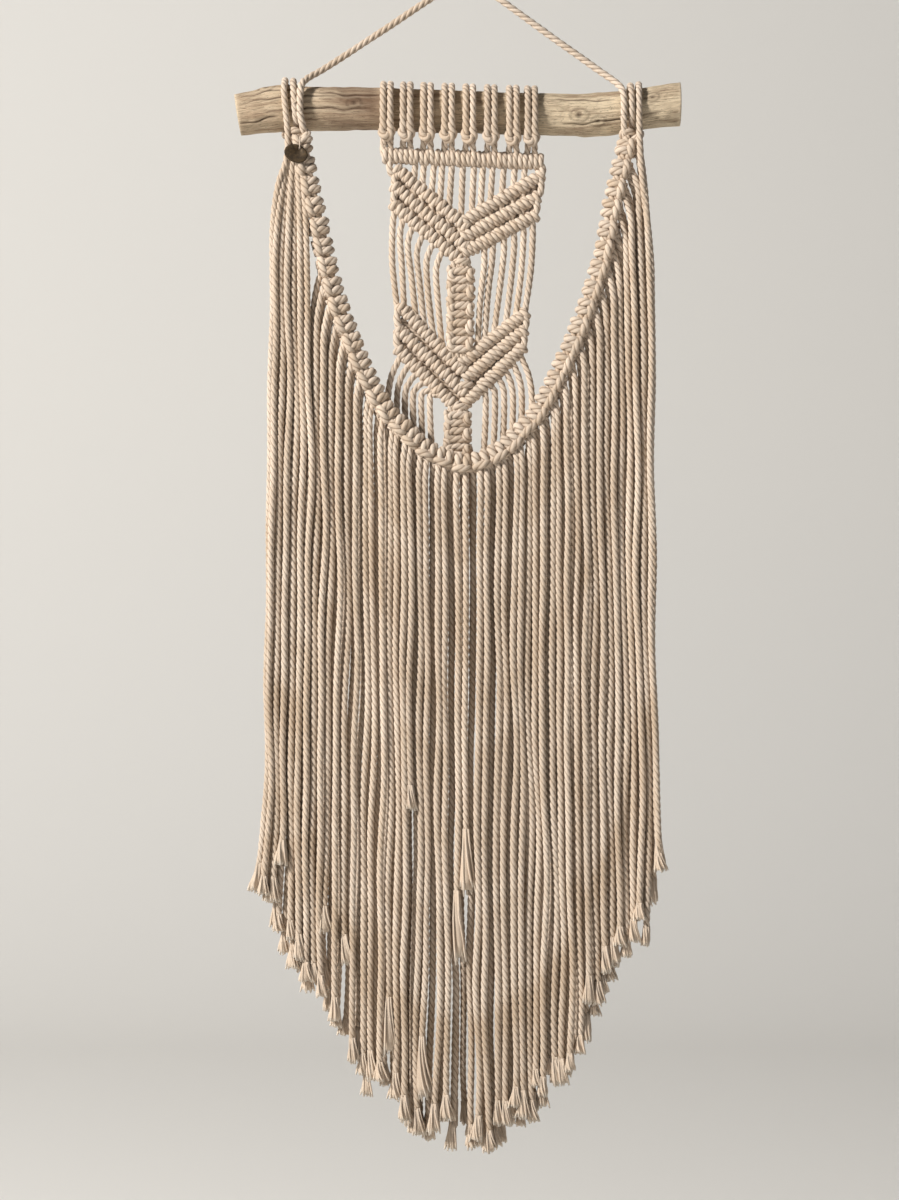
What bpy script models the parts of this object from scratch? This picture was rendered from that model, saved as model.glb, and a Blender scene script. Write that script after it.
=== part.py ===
"""Macrame wall hanging on a length of branch.

Metres, +Z up, and the front faces -Y. The origin is the top of the hanger rope, where a nail carries it.
Sizes and tables below are in millimetres, and make_object turns them into metres.
"""

import bisect
import math
import random

import bpy
from mathutils import Vector

MM = 0.001
CLEARANCE = 0.4  # between neighbouring pieces

# Cord and rope
STRAND_HALF = 2.3  # half the side of a four-sided strand
FRINGE_HALF = 2.0
ROPE_DIAMETER = 5.5

# The branch, one row for each section: x, z of its centre, radius
ROD = (
    (-172.0, -105.9, 15.7),
    (-158.0, -103.6, 16.9),
    (-139.0, -100.9, 17.9),
    (-120.0, -100.9, 16.9),
    (-92.0, -101.4, 16.6),
    (-65.0, -101.8, 16.3),
    (-25.0, -103.1, 16.4),
    (15.0, -104.2, 16.1),
    (55.0, -105.4, 16.1),
    (80.0, -106.3, 15.9),
    (93.0, -106.2, 16.7),
    (115.0, -104.3, 16.5),
    (135.0, -101.2, 15.8),
    (161.5, -97.7, 16.7),
)
ROD_SIDES = 14
ROD_END_SLANT = 0.16  # how far the left cut leans, as a share of its height
ROD_DENT = 0.05  # depth of the branch's hollows, as a share of its radius
ROD_WAVES = (0.061, 0.023)  # how fast the hollows turn along the branch, in radians a millimetre

# Planes of the knotted work, measured along Y from the branch's axis
PANEL_Y = -7.0
SWAG_Y = -19.5

# Lark's heads over the branch: x of each pair's middle, z of its knot
HEADS = (
    (-59.5, -123.8),
    (-44.6, -124.4),
    (-29.3, -125.0),
    (-13.4, -125.7),
    (2.5, -126.4),
    (18.7, -127.0),
    (35.2, -127.7),
    (49.0, -128.3),
)
HEAD_PAIR = 5.1  # between the two strands of a head
# A head's knot: set back from the wraps' front, height above its middle, half width, half depth
HEAD_RINGS = (
    (2.5, 8.0, 4.2, 2.0),
    (4.0, 3.5, 5.3, 3.2),
    (6.0, -2.0, 5.2, 3.2),
)
HEAD_FOOT = (4.6, 2.5)  # half width and half depth where the head's two cords enter the bar
WRAP_STEPS = 12

# The bar of double half hitches under the heads
BAR_START, BAR_END = (-62.5, -137.4), (58.5, -142.4)
BAR_HALF, BAR_DEPTH, BAR_KNOTS = 6.4, 6.0, 16

# Rows of diagonal double half hitches: x and z at the outer end, x and z at the middle
ROW_HALF, ROW_DEPTH, ROW_KNOTS = 5.7, 4.8, 7
UPPER_V = (
    (-51.8, -148.5, -1.5, -186.0),
    (-53.3, -160.8, -2.0, -198.5),
    (-54.0, -173.4, -2.5, -211.0),
    (57.8, -148.5, 0.8, -186.0),
    (53.3, -168.0, 0.0, -198.0),
    (51.8, -183.0, 0.5, -209.5),
)
LOWER_V = (
    (-48.8, -251.3, -5.0, -297.5),
    (-50.3, -268.5, -3.0, -311.5),
    (-50.3, -282.0, -6.0, -324.5),
    (44.3, -256.5, -2.0, -292.5),
    (42.8, -269.3, 1.5, -303.8),
    (41.6, -282.0, 1.5, -320.3),
)

# Square-knot sinnets: x and z at the top, x and z at the foot, number of knots
SINNET_HALF, SINNET_DEPTH = 10.8, 4.6
SINNETS = (
    (-1.5, -207.0, -2.8, -296.0, 6),
    (-4.5, -318.0, -5.2, -362.0, 3),
)

# Cords between the bar and the upper V: their x
SHORT_CORDS = (-39.8, -33.0, -25.5, -19.3, -12.0, -4.0, 4.5, 11.3, 18.8, 27.0, 35.3, 42.8)

# Cords between the two V's: x and z at the top, x half-way, x and z at the foot
SIDE_CORDS = (
    (-53.0, -178.0, -57.5, -50.5, -252.0),
    (-46.0, -183.0, -50.5, -44.5, -256.5),
    (-38.5, -189.0, -42.8, -37.8, -263.0),
    (-31.0, -195.0, -35.5, -31.5, -270.0),
    (-23.5, -201.0, -28.5, -25.0, -276.5),
    (-16.5, -206.0, -20.5, -18.0, -284.0),
    (14.0, -207.0, 15.5, 10.0, -283.0),
    (21.0, -202.0, 22.5, 16.5, -276.5),
    (28.5, -197.0, 31.0, 23.5, -271.0),
    (35.5, -192.0, 38.5, 30.5, -265.5),
    (43.0, -187.0, 46.0, 37.0, -260.5),
    (49.5, -184.0, 53.5, 43.5, -256.0),
)

# Cords that leave the lower V and hang behind the swag: x and z at the top, x where they turn down, x at the foot
LONG_CORDS = (
    (-48.5, -284.0, -58.5, -57.5),
    (-42.0, -289.0, -51.8, -51.0),
    (-35.5, -294.0, -45.8, -44.5),
    (-29.0, -300.0, -39.8, -38.0),
    (-22.5, -306.0, -33.5, -31.5),
    (-16.0, -312.0, -27.0, -24.5),
    (-11.5, -355.0, -16.5, -17.0),
    (-7.0, -356.0, -9.5, -10.0),
    (-2.5, -356.0, -2.6, -2.6),
    (2.0, -355.0, 4.3, 4.6),
    (9.5, -312.0, 14.8, 12.0),
    (16.0, -307.0, 21.8, 19.5),
    (22.5, -302.0, 28.7, 27.0),
    (28.5, -297.0, 35.3, 34.5),
    (34.5, -292.0, 42.0, 42.5),
    (40.0, -286.0, 49.5, 50.5),
)
TURN_Z = -318.0  # where the side cords turn down
CENTRE_TURN_Z = -372.0
BEND_SHARE = 0.72  # share of their way out at half that height
FALL_SHARES = (0.1, 0.5, 0.93, 1.0)  # where a long cord's sections lie on its fall

# The swag's centre line: x, z
SWAG = (
    (-122.0, -123.0),
    (-115.5, -145.5),
    (-109.5, -171.8),
    (-103.5, -195.8),
    (-96.8, -222.8),
    (-88.5, -249.8),
    (-78.8, -279.0),
    (-66.8, -309.0),
    (-55.5, -330.8),
    (-45.8, -342.0),
    (-36.0, -352.5),
    (-25.5, -360.8),
    (-12.0, -366.0),
    (-1.5, -369.0),
    (10.5, -366.8),
    (18.0, -363.8),
    (29.3, -357.0),
    (40.5, -345.0),
    (51.0, -333.8),
    (57.8, -322.5),
    (65.3, -308.3),
    (72.8, -292.5),
    (79.5, -278.3),
    (85.5, -262.5),
    (90.8, -248.3),
    (95.3, -234.0),
    (100.5, -219.8),
    (104.3, -203.3),
    (107.3, -186.8),
    (111.0, -171.0),
    (114.8, -156.8),
    (118.5, -142.5),
    (121.5, -125.5),
)
SWAG_KNOTS = 37
SWAG_HALF, SWAG_DEPTH = 7.0, 6.0
SWAG_START_Y = -14.5  # under the branch, before the swag comes forward
SWAG_FORWARD_OVER = 22.0  # length in which it comes forward

# Shares of one knot's length: valley, root of the front cord, middle, end of the back cord's root
KNOT_STEPS = ((0.0, 0.8), (0.17, 1.0), (0.5, 1.03), (0.83, 1.0))

# Fringe
FRINGE_FRONT_Y, FRINGE_BACK_Y = -22.9, -16.1
FRINGE_BOW = (20.3, 12.5)  # how far the topmost cords stand out past the swag, left and right
FRINGE_LEAST = 3.1
BOW_STEPS = ((0.4, 0.2), (0.8, 0.6), (1.0, 1.0))  # shares of the way out and of the drop
DROP_LEAST, DROP_PER_BOW = 4.0, 4.0
FALL_STEPS = (0.3, 0.65, 0.95, 1.0)
BOW_SHARE = 0.36  # share of the swag over which the bow dies away
FRINGE_FAN = 9.0  # how far the outer cords spread towards their ends
END_FLARE = 1.15
END_UNEVEN = 24.0  # how much shorter than the outline a cord may end

# Outline of the fringe's ends: x, z
HEM = (
    (-163.0, -692.0),
    (-150.0, -706.0),
    (-138.0, -722.0),
    (-127.0, -764.0),
    (-109.0, -766.0),
    (-95.0, -803.0),
    (-75.0, -846.0),
    (-42.0, -871.0),
    (-4.5, -891.0),
    (16.5, -886.0),
    (44.0, -871.0),
    (70.0, -837.0),
    (87.0, -815.0),
    (101.0, -771.0),
    (128.0, -727.0),
    (149.0, -674.0),
)

# Ties over the branch: x of each wrap, and x, y, z and half sizes of the knot under them
LEFT_WRAPS = (-136.6, -130.4)
RIGHT_WRAPS = (124.2, 130.4)
TIE_KNOTS = (
    (-125.5, -14.8, -124.0, 9.5, 7.0, 6.0),
    (124.0, -14.8, -124.5, 9.5, 7.0, 6.0),
)
TIE_SWELLS = ((-1.0, 0.55), (-0.5, 1.0), (0.0, 0.85), (0.5, 1.0), (1.0, 0.55))
# Loose ends beside the ties: x, y, z
LEFT_END = (
    (-136.6, -19.4, -109.0),
    (-133.6, -19.0, -123.5),
    (-134.5, -22.5, -141.0),
    (-141.0, -22.9, -160.5),
    (-145.5, -22.9, -191.0),
    (-148.3, -22.9, -223.0),
    (-149.5, -22.9, -262.0),
    (-150.5, -22.9, -472.0),
    (-158.5, -22.9, -672.0),
    (-161.0, -22.9, -694.0),
)
RIGHT_END = (
    (130.4, -19.4, -112.0),
    (132.5, -21.0, -127.0),
    (135.0, -22.5, -144.0),
    (136.8, -22.9, -171.0),
    (140.0, -22.9, -209.0),
    (140.8, -22.9, -248.0),
    (142.0, -22.9, -397.0),
    (143.5, -22.9, -509.0),
    (146.0, -22.9, -650.0),
    (147.0, -22.9, -672.0),
)

# Hanger rope: x, y, z from the front of the left tie to the top, and the same for the right
ROPE_LEFT = (
    (-124.3, -20.6, -107.0),
    (-124.3, -20.3, -96.0),
    (-123.4, -16.5, -86.0),
    (-118.5, -10.0, -79.5),
    (-104.0, -4.0, -70.0),
    (-60.0, -0.5, -40.6),
    (-22.0, 0.0, -15.2),
)
ROPE_RIGHT = (
    (118.2, -19.9, -110.0),
    (118.3, -19.6, -100.0),
    (117.5, -16.5, -90.5),
    (112.5, -10.0, -83.0),
    (98.0, -4.0, -71.5),
    (60.0, -0.5, -43.8),
    (22.0, 0.0, -16.2),
)
ROPE_POINTS = 56

# Brass tag
TAG_CENTRE = (-126.0, -136.5)
TAG_WIDTH, TAG_HEIGHT, TAG_THICKNESS = 18.0, 13.5, 1.2
TAG_SIDES = 20
TAG_LEAN = 12.0  # degrees
TAG_BACK = -25.2  # y of its back, just before the swag

MATERIALS = {  # base colour, roughness, metallic
    "cotton": ((0.62, 0.50, 0.37), 0.9, 0.0),
    "wood": ((0.45, 0.31, 0.18), 0.75, 0.0),
    "brass": ((0.16, 0.11, 0.05), 0.4, 0.9),
}


def material(name):
    found = bpy.data.materials.get(name)
    if found:
        return found
    colour, roughness, metallic = MATERIALS[name]
    made = bpy.data.materials.new(name)
    made.use_nodes = True
    shader = made.node_tree.nodes["Principled BSDF"]
    shader.inputs["Base Color"].default_value = (*colour, 1.0)
    shader.inputs["Roughness"].default_value = roughness
    shader.inputs["Metallic"].default_value = metallic
    return made


def make_object(name, points, faces, finish):
    """An object from points in millimetres."""
    mesh = bpy.data.meshes.new(name)
    mesh.from_pydata([Vector(p) * MM for p in points], [], faces)
    mesh.validate()
    mesh.materials.append(material(finish))
    made = bpy.data.objects.new(name, mesh)
    bpy.context.collection.objects.link(made)
    return made


def fuse(name, base, others, finish):
    """One closed body from overlapping pieces."""
    group = bpy.data.collections.new("joined_pieces")
    bpy.context.scene.collection.children.link(group)
    for piece in others:
        bpy.context.collection.objects.unlink(piece)
        group.objects.link(piece)
    union = base.modifiers.new("union", "BOOLEAN")
    union.operation = "UNION"
    union.solver = "EXACT"
    union.operand_type = "COLLECTION"
    union.collection = group
    evaluated = base.evaluated_get(bpy.context.evaluated_depsgraph_get())
    mesh = bpy.data.meshes.new_from_object(evaluated)
    mesh.name = name
    mesh.materials.clear()
    mesh.materials.append(material(finish))
    for piece in (base, *others):
        bpy.data.objects.remove(piece)
    bpy.data.collections.remove(group)
    made = bpy.data.objects.new(name, mesh)
    bpy.context.collection.objects.link(made)
    return made


def table_value(rows, x):
    """Straight-line reading of a table of (x, value) rows."""
    at = min(max(bisect.bisect([row[0] for row in rows], x), 1), len(rows) - 1)
    (x0, v0), (x1, v1) = rows[at - 1], rows[at]
    share = min(max((x - x0) / (x1 - x0), 0.0), 1.0)
    return v0 + (v1 - v0) * share


def spline_point(points, t):
    """Catmull-Rom curve through the points, t from 0 to 1."""
    spans = len(points) - 1
    at = min(int(t * spans), spans - 1)
    u = t * spans - at
    p1, p2 = points[at], points[at + 1]
    p0 = points[at - 1] if at else p1 * 2 - p2
    p3 = points[at + 2] if at + 2 <= spans else p2 * 2 - p1
    return 0.5 * (
        p1 * 2
        + (p2 - p0) * u
        + (p0 * 2 - p1 * 5 + p2 * 4 - p3) * u * u
        + (p1 * 3 - p0 - p2 * 3 + p3) * u**3
    )


def even_points(points, count):
    """Points at even lengths along the smooth curve through the given ones."""
    fine = [spline_point(points, i / 600) for i in range(601)]
    reach = [0.0]
    for a, b in zip(fine, fine[1:]):
        reach.append(reach[-1] + (b - a).length)
    found = []
    for i in range(count):
        goal = reach[-1] * i / (count - 1)
        at = min(max(bisect.bisect(reach, goal), 1), len(fine) - 1)
        share = (goal - reach[at - 1]) / (reach[at] - reach[at - 1])
        found.append(fine[at - 1].lerp(fine[at], share))
    return found


def directions(path, closed=False):
    last = len(path) - 1
    found = []
    for i, _ in enumerate(path):
        if closed:
            before, after = path[i - 1], path[(i + 1) % len(path)]
        else:
            before, after = path[max(i - 1, 0)], path[min(i + 1, last)]
        found.append((after - before).normalized())
    return found


def sweep(name, path, sizes, sides, across, finish, closed=False):
    """A tube along a path, with a half width and half depth at each point; the depth lies along across."""
    points = []
    for centre, along, (half_width, half_depth) in zip(path, directions(path, closed), sizes):
        side = along.cross(across).normalized()
        deep = side.cross(along).normalized()
        for k in range(sides):
            angle = 2 * math.pi * (k + 0.5) / sides
            stretch = 1 / math.cos(math.pi / sides)
            points.append(
                centre
                + side * (half_width * math.cos(angle) * stretch)
                + deep * (half_depth * math.sin(angle) * stretch)
            )
    count = len(path)
    faces = []
    for i in range(count if closed else count - 1):
        a, b = i * sides, (i + 1) % count * sides
        for k in range(sides):
            n = (k + 1) % sides
            faces.append((a + k, a + n, b + n, b + k))
    if not closed:
        faces.append(tuple(reversed(range(sides))))
        faces.append(tuple((count - 1) * sides + k for k in range(sides)))
    made = make_object(name, points, faces, finish)
    face_outwards(made)
    return made


def face_outwards(made):
    """Turns a closed mesh whose signed volume is negative."""
    mesh = made.data
    mesh.calc_loop_triangles()
    volume = 0.0
    for triangle in mesh.loop_triangles:
        a, b, c = (mesh.vertices[v].co for v in triangle.vertices)
        volume += a.dot(b.cross(c))
    if volume < 0:
        mesh.flip_normals()


def ridged(name, start, end, half_width, half_depth, knots, sides, low=0.84):
    """A straight bar with a ridge for each knot."""
    path, sizes = [], []
    for i in range(2 * knots + 1):
        share = i / (2 * knots)
        path.append(start.lerp(end, share))
        swell = 1.0 if i % 2 else low
        sizes.append((half_width * swell, half_depth * swell))
    return sweep(name, path, sizes, sides, Vector((0, 1, 0)), "cotton")


def rod_section(x):
    z = table_value([(row[0], row[1]) for row in ROD], x)
    radius = table_value([(row[0], row[2]) for row in ROD], x)
    return z, radius


def rod():
    rings = []
    for (x0, z0, r0), (x1, z1, r1) in zip(ROD, ROD[1:]):
        for share in (0.0, 0.5):
            rings.append((x0 + (x1 - x0) * share, z0 + (z1 - z0) * share, r0 + (r1 - r0) * share))
    rings.append(ROD[-1])
    points, faces = [], []
    for i, (x, z, radius) in enumerate(rings):
        for k in range(ROD_SIDES):
            angle = 2 * math.pi * k / ROD_SIDES
            wave = math.sin(ROD_WAVES[0] * x + 2 * angle) * math.cos(ROD_WAVES[1] * x - 3 * angle)
            dent = ROD_DENT * (0.5 + 0.5 * wave)
            reach = radius * (1 - dent)
            lean = ROD_END_SLANT * reach * math.sin(angle) if i == 0 else 0.0
            points.append((x - lean, -reach * math.cos(angle), z + reach * math.sin(angle)))
    for i in range(len(rings) - 1):
        for k in range(ROD_SIDES):
            n = (k + 1) % ROD_SIDES
            a, b = i * ROD_SIDES, (i + 1) * ROD_SIDES
            faces.append((a + k, b + k, b + n, a + n))
    faces.append(tuple(range(ROD_SIDES)))
    faces.append(tuple(reversed([(len(rings) - 1) * ROD_SIDES + k for k in range(ROD_SIDES)])))
    made = make_object("rod", points, faces, "wood")
    face_outwards(made)
    return made


def wrap(x, half_width=STRAND_HALF - 0.1):
    """A cord's turn round the branch, clear of it."""
    z, radius = rod_section(x)
    corner = 1 / math.cos(math.pi / WRAP_STEPS)
    reach = (radius + CLEARANCE) * corner + STRAND_HALF
    path = []
    for i in range(WRAP_STEPS):
        angle = 2 * math.pi * i / WRAP_STEPS
        path.append(Vector((x, -reach * math.cos(angle), z + reach * math.sin(angle))))
    sizes = [(STRAND_HALF, half_width)] * WRAP_STEPS
    return sweep("wrap", path, sizes, 4, Vector((1, 0, 0)), "cotton", closed=True)


def strand(path, half=STRAND_HALF, foot=1.0):
    sizes = [(half, half)] * (len(path) - 1) + [(half * foot, half * foot)]
    return sweep("strand", path, sizes, 4, Vector((0, 1, 0)), "cotton")


def panel():
    plane = PANEL_Y
    bar = ridged(
        "bar",
        Vector((BAR_START[0], plane, BAR_START[1])),
        Vector((BAR_END[0], plane, BAR_END[1])),
        BAR_HALF,
        BAR_DEPTH,
        BAR_KNOTS,
        8,
    )
    pieces = []
    for x, z in HEADS:
        rod_z, radius = rod_section(x)
        front = -(radius + CLEARANCE + STRAND_HALF)
        for side in (-1, 1):
            pieces.append(wrap(x + side * HEAD_PAIR / 2))
        head = [Vector((x, front + back, z + up)) for back, up, _, _ in HEAD_RINGS]
        head += [Vector((x, plane, z - BAR_HALF)), Vector((x, plane, BAR_START[1] - BAR_HALF / 3))]
        widths = [row[2:] for row in HEAD_RINGS] + [HEAD_FOOT, HEAD_FOOT]
        pieces.append(sweep("head", head, widths, 6, Vector((0, 1, 0)), "cotton"))
    for x_out, z_out, x_in, z_in in (*UPPER_V, *LOWER_V):
        pieces.append(
            ridged(
                "row",
                Vector((x_out, plane, z_out)),
                Vector((x_in, plane, z_in)),
                ROW_HALF,
                ROW_DEPTH,
                ROW_KNOTS,
                6,
            )
        )
    for x_top, z_top, x_foot, z_foot, knots in SINNETS:
        pieces.append(
            ridged(
                "sinnet",
                Vector((x_top, plane, z_top)),
                Vector((x_foot, plane, z_foot)),
                SINNET_HALF,
                SINNET_DEPTH,
                knots,
                8,
                low=0.88,
            )
        )
    for x in SHORT_CORDS:
        x_out, z_out, x_in, z_in = UPPER_V[0] if x < 0 else UPPER_V[len(UPPER_V) // 2]
        z_row = z_out + (z_in - z_out) * (x - x_out) / (x_in - x_out)
        z_bar = table_value((BAR_START, BAR_END), x)
        pieces.append(strand([Vector((x, plane, z_bar)), Vector((x, plane, z_row))]))
    for x_top, z_top, x_mid, x_foot, z_foot in SIDE_CORDS:
        through = [
            Vector((x_top, plane, z_top)),
            Vector((x_mid, plane, (z_top + z_foot) / 2)),
            Vector((x_foot, plane, z_foot)),
        ]
        pieces.append(strand(even_points(through, 6)))
    uneven = random.Random(11)
    for x_top, z_top, x_turn, x_foot in LONG_CORDS:
        turn_z = CENTRE_TURN_Z if z_top < TURN_Z else TURN_Z
        end_z = table_value(HEM, x_foot) + uneven.uniform(0.0, END_UNEVEN)
        bend = [
            Vector((x_top, plane, z_top)),
            Vector((x_top + (x_turn - x_top) * BEND_SHARE, plane, (z_top + turn_z) / 2)),
            Vector((x_turn, plane, turn_z)),
        ]
        fall = [
            Vector((x_turn + (x_foot - x_turn) * share, plane, turn_z + (end_z - turn_z) * share))
            for share in FALL_SHARES
        ]
        pieces.append(strand(even_points(bend, 4) + fall, foot=END_FLARE))
    return fuse("panel", bar, pieces, "cotton")


SWAG_SECTION = (  # outward, depth: middle of the outer side, then round by the front
    (1.0, 0.0),
    (0.62, -1.0),
    (-0.62, -1.0),
    (-1.0, 0.0),
    (-0.62, 1.0),
    (0.62, 1.0),
)


def swag_rings():
    """Rings of the swag: centre, outward direction, swell, share of its length."""
    steps = len(KNOT_STEPS)
    fine = 20 * SWAG_KNOTS
    dense = even_points([Vector((x, SWAG_Y, z)) for x, z in SWAG], fine + 1)
    aims = directions(dense)
    length = sum((b - a).length for a, b in zip(dense, dense[1:]))
    rings = []
    for i in range(SWAG_KNOTS * steps + 1):
        share_of_knot, swell = KNOT_STEPS[i % steps]
        share = (i // steps + share_of_knot) / SWAG_KNOTS
        at = min(round(share * fine), fine)
        centre = dense[at].copy()
        forward = min(min(share, 1 - share) * length / SWAG_FORWARD_OVER, 1.0)
        centre.y = SWAG_START_Y + (SWAG_Y - SWAG_START_Y) * forward
        outward = Vector((0, 1, 0)).cross(aims[at]).normalized()
        rings.append((centre, outward, swell, share))
    return rings


def hang(points, faces, quad, outward, plane, share, uneven):
    """Draws one fringe cord out of a quad of the swag and lets it fall in the given plane."""
    root = sum((points[v] for v in quad), Vector()) / 4
    from_end = min(share, 1 - share)
    near_end = max(0.0, 1 - from_end / BOW_SHARE)
    bow = FRINGE_BOW[0] if share < 0.5 else FRINGE_BOW[1]
    out = outward.x * (FRINGE_LEAST + (bow - FRINGE_LEAST) * near_end**1.2)
    drop = DROP_LEAST + DROP_PER_BOW * max(abs(out), FRINGE_LEAST)
    x_hang = root.x + out
    top_z = root.z - drop
    end_z = table_value(HEM, x_hang * 1.05) + uneven.uniform(0.0, END_UNEVEN)
    corners = ((-1, 1), (-1, -1), (1, -1), (1, 1))
    square = [Vector((a * FRINGE_HALF, b * FRINGE_HALF, 0.0)) for a, b in corners]
    turned = [(points[v] - root) * 0.5 + q * 0.5 for v, q in zip(quad, square)]
    rings = []
    for way_out, way_down in BOW_STEPS:
        where = Vector((root.x + out * way_out, root.y + (plane - root.y) * way_out, root.z - drop * way_down))
        rings.append((where, square if rings else turned))
    for fall in FALL_STEPS:
        fan = FRINGE_FAN * (x_hang / 150.0) * fall**2
        flare = END_FLARE if fall == 1.0 else 1.0
        where = Vector((x_hang + fan, plane, top_z + (end_z - top_z) * fall))
        rings.append((where, [corner * flare for corner in square]))
    before = quad
    for centre, shape in rings:
        first = len(points)
        points.extend(centre + corner for corner in shape)
        ring = tuple(range(first, first + 4))
        for k in range(4):
            n = (k + 1) % 4
            faces.append((before[k], before[n], ring[n], ring[k]))
        before = ring
    faces.append(before)


def swag_band():
    """The chain of knots, with its fringe drawn out of it."""
    rings = swag_rings()
    sides = len(SWAG_SECTION)
    steps = len(KNOT_STEPS)
    points, faces = [], []
    for centre, outward, swell, _ in rings:
        for out, deep in SWAG_SECTION:
            aside = Vector((0, deep * SWAG_DEPTH * swell, 0))
            points.append(centre + outward * (out * SWAG_HALF * swell) + aside)
    uneven = random.Random(5)
    for i in range(len(rings) - 1):
        _, outward, _, share = rings[i]
        has_fringe = 1 <= i // steps < SWAG_KNOTS - 1
        for k in range(sides):
            n = (k + 1) % sides
            a, b = i * sides, (i + 1) * sides
            quad = (a + k, a + n, b + n, b + k)
            if has_fringe and k == 0 and i % steps == 1:
                hang(points, faces, quad, outward, FRINGE_FRONT_Y, share, uneven)
            elif has_fringe and k == sides - 1 and i % steps == 2:
                hang(points, faces, quad, outward, FRINGE_BACK_Y, share, uneven)
            else:
                faces.append(quad)
    faces.append(tuple(reversed(range(sides))))
    faces.append(tuple((len(rings) - 1) * sides + k for k in range(sides)))
    band = make_object("band", points, faces, "cotton")
    face_outwards(band)
    return band


def tie_knot(x, y, z, half_length, half_width, half_depth):
    path, sizes = [], []
    for along, swell in TIE_SWELLS:
        path.append(Vector((x + half_length * along, y, z)))
        sizes.append((half_width * swell, half_depth * swell))
    return sweep("knot", path, sizes, 8, Vector((0, 1, 0)), "cotton")


def swag():
    """The swag with its fringe, the ties that hold it on the branch, and the loose ends beside them."""
    pieces = [wrap(x) for x in (*LEFT_WRAPS, *RIGHT_WRAPS)]
    pieces += [tie_knot(*row) for row in TIE_KNOTS]
    for rows in (LEFT_END, RIGHT_END):
        pieces.append(strand([Vector(row) for row in rows], half=FRINGE_HALF, foot=END_FLARE))
    return fuse("swag", swag_band(), pieces, "cotton")


def hanger():
    """One rope from tie to tie, over the nail."""
    apex = Vector((0.0, 0.0, -ROPE_DIAMETER / 2))
    through = [Vector(row) for row in ROPE_LEFT] + [apex] + [Vector(row) for row in reversed(ROPE_RIGHT)]
    curve = bpy.data.curves.new("hanger_cord", "CURVE")
    curve.dimensions = "3D"
    curve.bevel_depth = ROPE_DIAMETER / 2 * MM
    curve.bevel_resolution = 2
    curve.use_fill_caps = True
    line = curve.splines.new("POLY")
    route = even_points(through, ROPE_POINTS)
    line.points.add(len(route) - 1)
    for point, place in zip(line.points, route):
        point.co = (*(place * MM), 1.0)
    curve.materials.append(material("cotton"))
    made = bpy.data.objects.new("hanger_cord", curve)
    bpy.context.collection.objects.link(made)
    return made


def tag():
    """A plain oval disc that hangs flat before the left end of the swag."""
    points, faces = [], []
    lean = math.radians(TAG_LEAN)
    for y in (TAG_BACK - TAG_THICKNESS, TAG_BACK):
        for k in range(TAG_SIDES):
            angle = 2 * math.pi * k / TAG_SIDES
            a, b = TAG_WIDTH / 2 * math.cos(angle), TAG_HEIGHT / 2 * math.sin(angle)
            x = TAG_CENTRE[0] + a * math.cos(lean) + b * math.sin(lean)
            z = TAG_CENTRE[1] - a * math.sin(lean) + b * math.cos(lean)
            points.append((x, y, z))
    for k in range(TAG_SIDES):
        n = (k + 1) % TAG_SIDES
        faces.append((k, n, TAG_SIDES + n, TAG_SIDES + k))
    faces.append(tuple(reversed(range(TAG_SIDES))))
    faces.append(tuple(range(TAG_SIDES, 2 * TAG_SIDES)))
    made = make_object("tag", points, faces, "brass")
    face_outwards(made)
    return made


def main():
    for old in list(bpy.data.objects):
        bpy.data.objects.remove(old)
    rod()
    hanger()
    tag()
    panel()
    swag()


main()
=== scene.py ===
"""Looks of the macrame wall hanging: laid cotton cord, its knots, frayed ends, a branch and a brass tag.

Lengths and places are in millimetres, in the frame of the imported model. add_mesh() turns them into metres.
The front faces -Y. A cord is a mesh of three plies that turn round each other.
"""

import math
from collections import namedtuple

import bpy
import numpy as np
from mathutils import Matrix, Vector


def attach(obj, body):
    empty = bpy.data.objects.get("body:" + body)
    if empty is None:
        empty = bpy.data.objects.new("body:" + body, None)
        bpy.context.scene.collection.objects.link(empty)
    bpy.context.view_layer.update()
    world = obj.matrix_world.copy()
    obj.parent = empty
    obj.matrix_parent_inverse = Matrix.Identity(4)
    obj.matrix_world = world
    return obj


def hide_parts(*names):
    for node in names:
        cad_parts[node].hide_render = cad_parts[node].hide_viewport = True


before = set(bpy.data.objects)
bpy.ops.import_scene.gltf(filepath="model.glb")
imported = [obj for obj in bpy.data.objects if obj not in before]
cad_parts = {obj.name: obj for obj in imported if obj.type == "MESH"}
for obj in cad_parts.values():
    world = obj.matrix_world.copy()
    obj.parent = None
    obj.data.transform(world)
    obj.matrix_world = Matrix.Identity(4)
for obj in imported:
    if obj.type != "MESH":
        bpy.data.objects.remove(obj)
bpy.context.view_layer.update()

MM = 0.001

# ---- the cord
CORD_RADIUS = 2.6
LAY = 17.0  # length in which a ply goes once round
PLIES = 3
GROOVE, KNOT_GROOVE, TIGHT_GROOVE = 0.70, 0.78, 0.80  # radius between plies, as a share
PLY_SHAPE = (0.93, 1.0, 0.93)  # radius over a ply, as a share
PLY_CROWN = (0.0, 0.77, 1.0, 0.77)  # how near to the ply's crown: groove, then over the ply; low values get the painted groove shade
THICK_WAVES = ((0.025, 23.0, 1), (0.015, 7.1, 2))  # share of the radius, length, share in the phase
FALL_STEP = 2.4  # between the rings of a hanging cord
KNOT_STEP = 1.25  # between the rings of a knotted cord
STRAIGHT_STEP = 2.0

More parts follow.
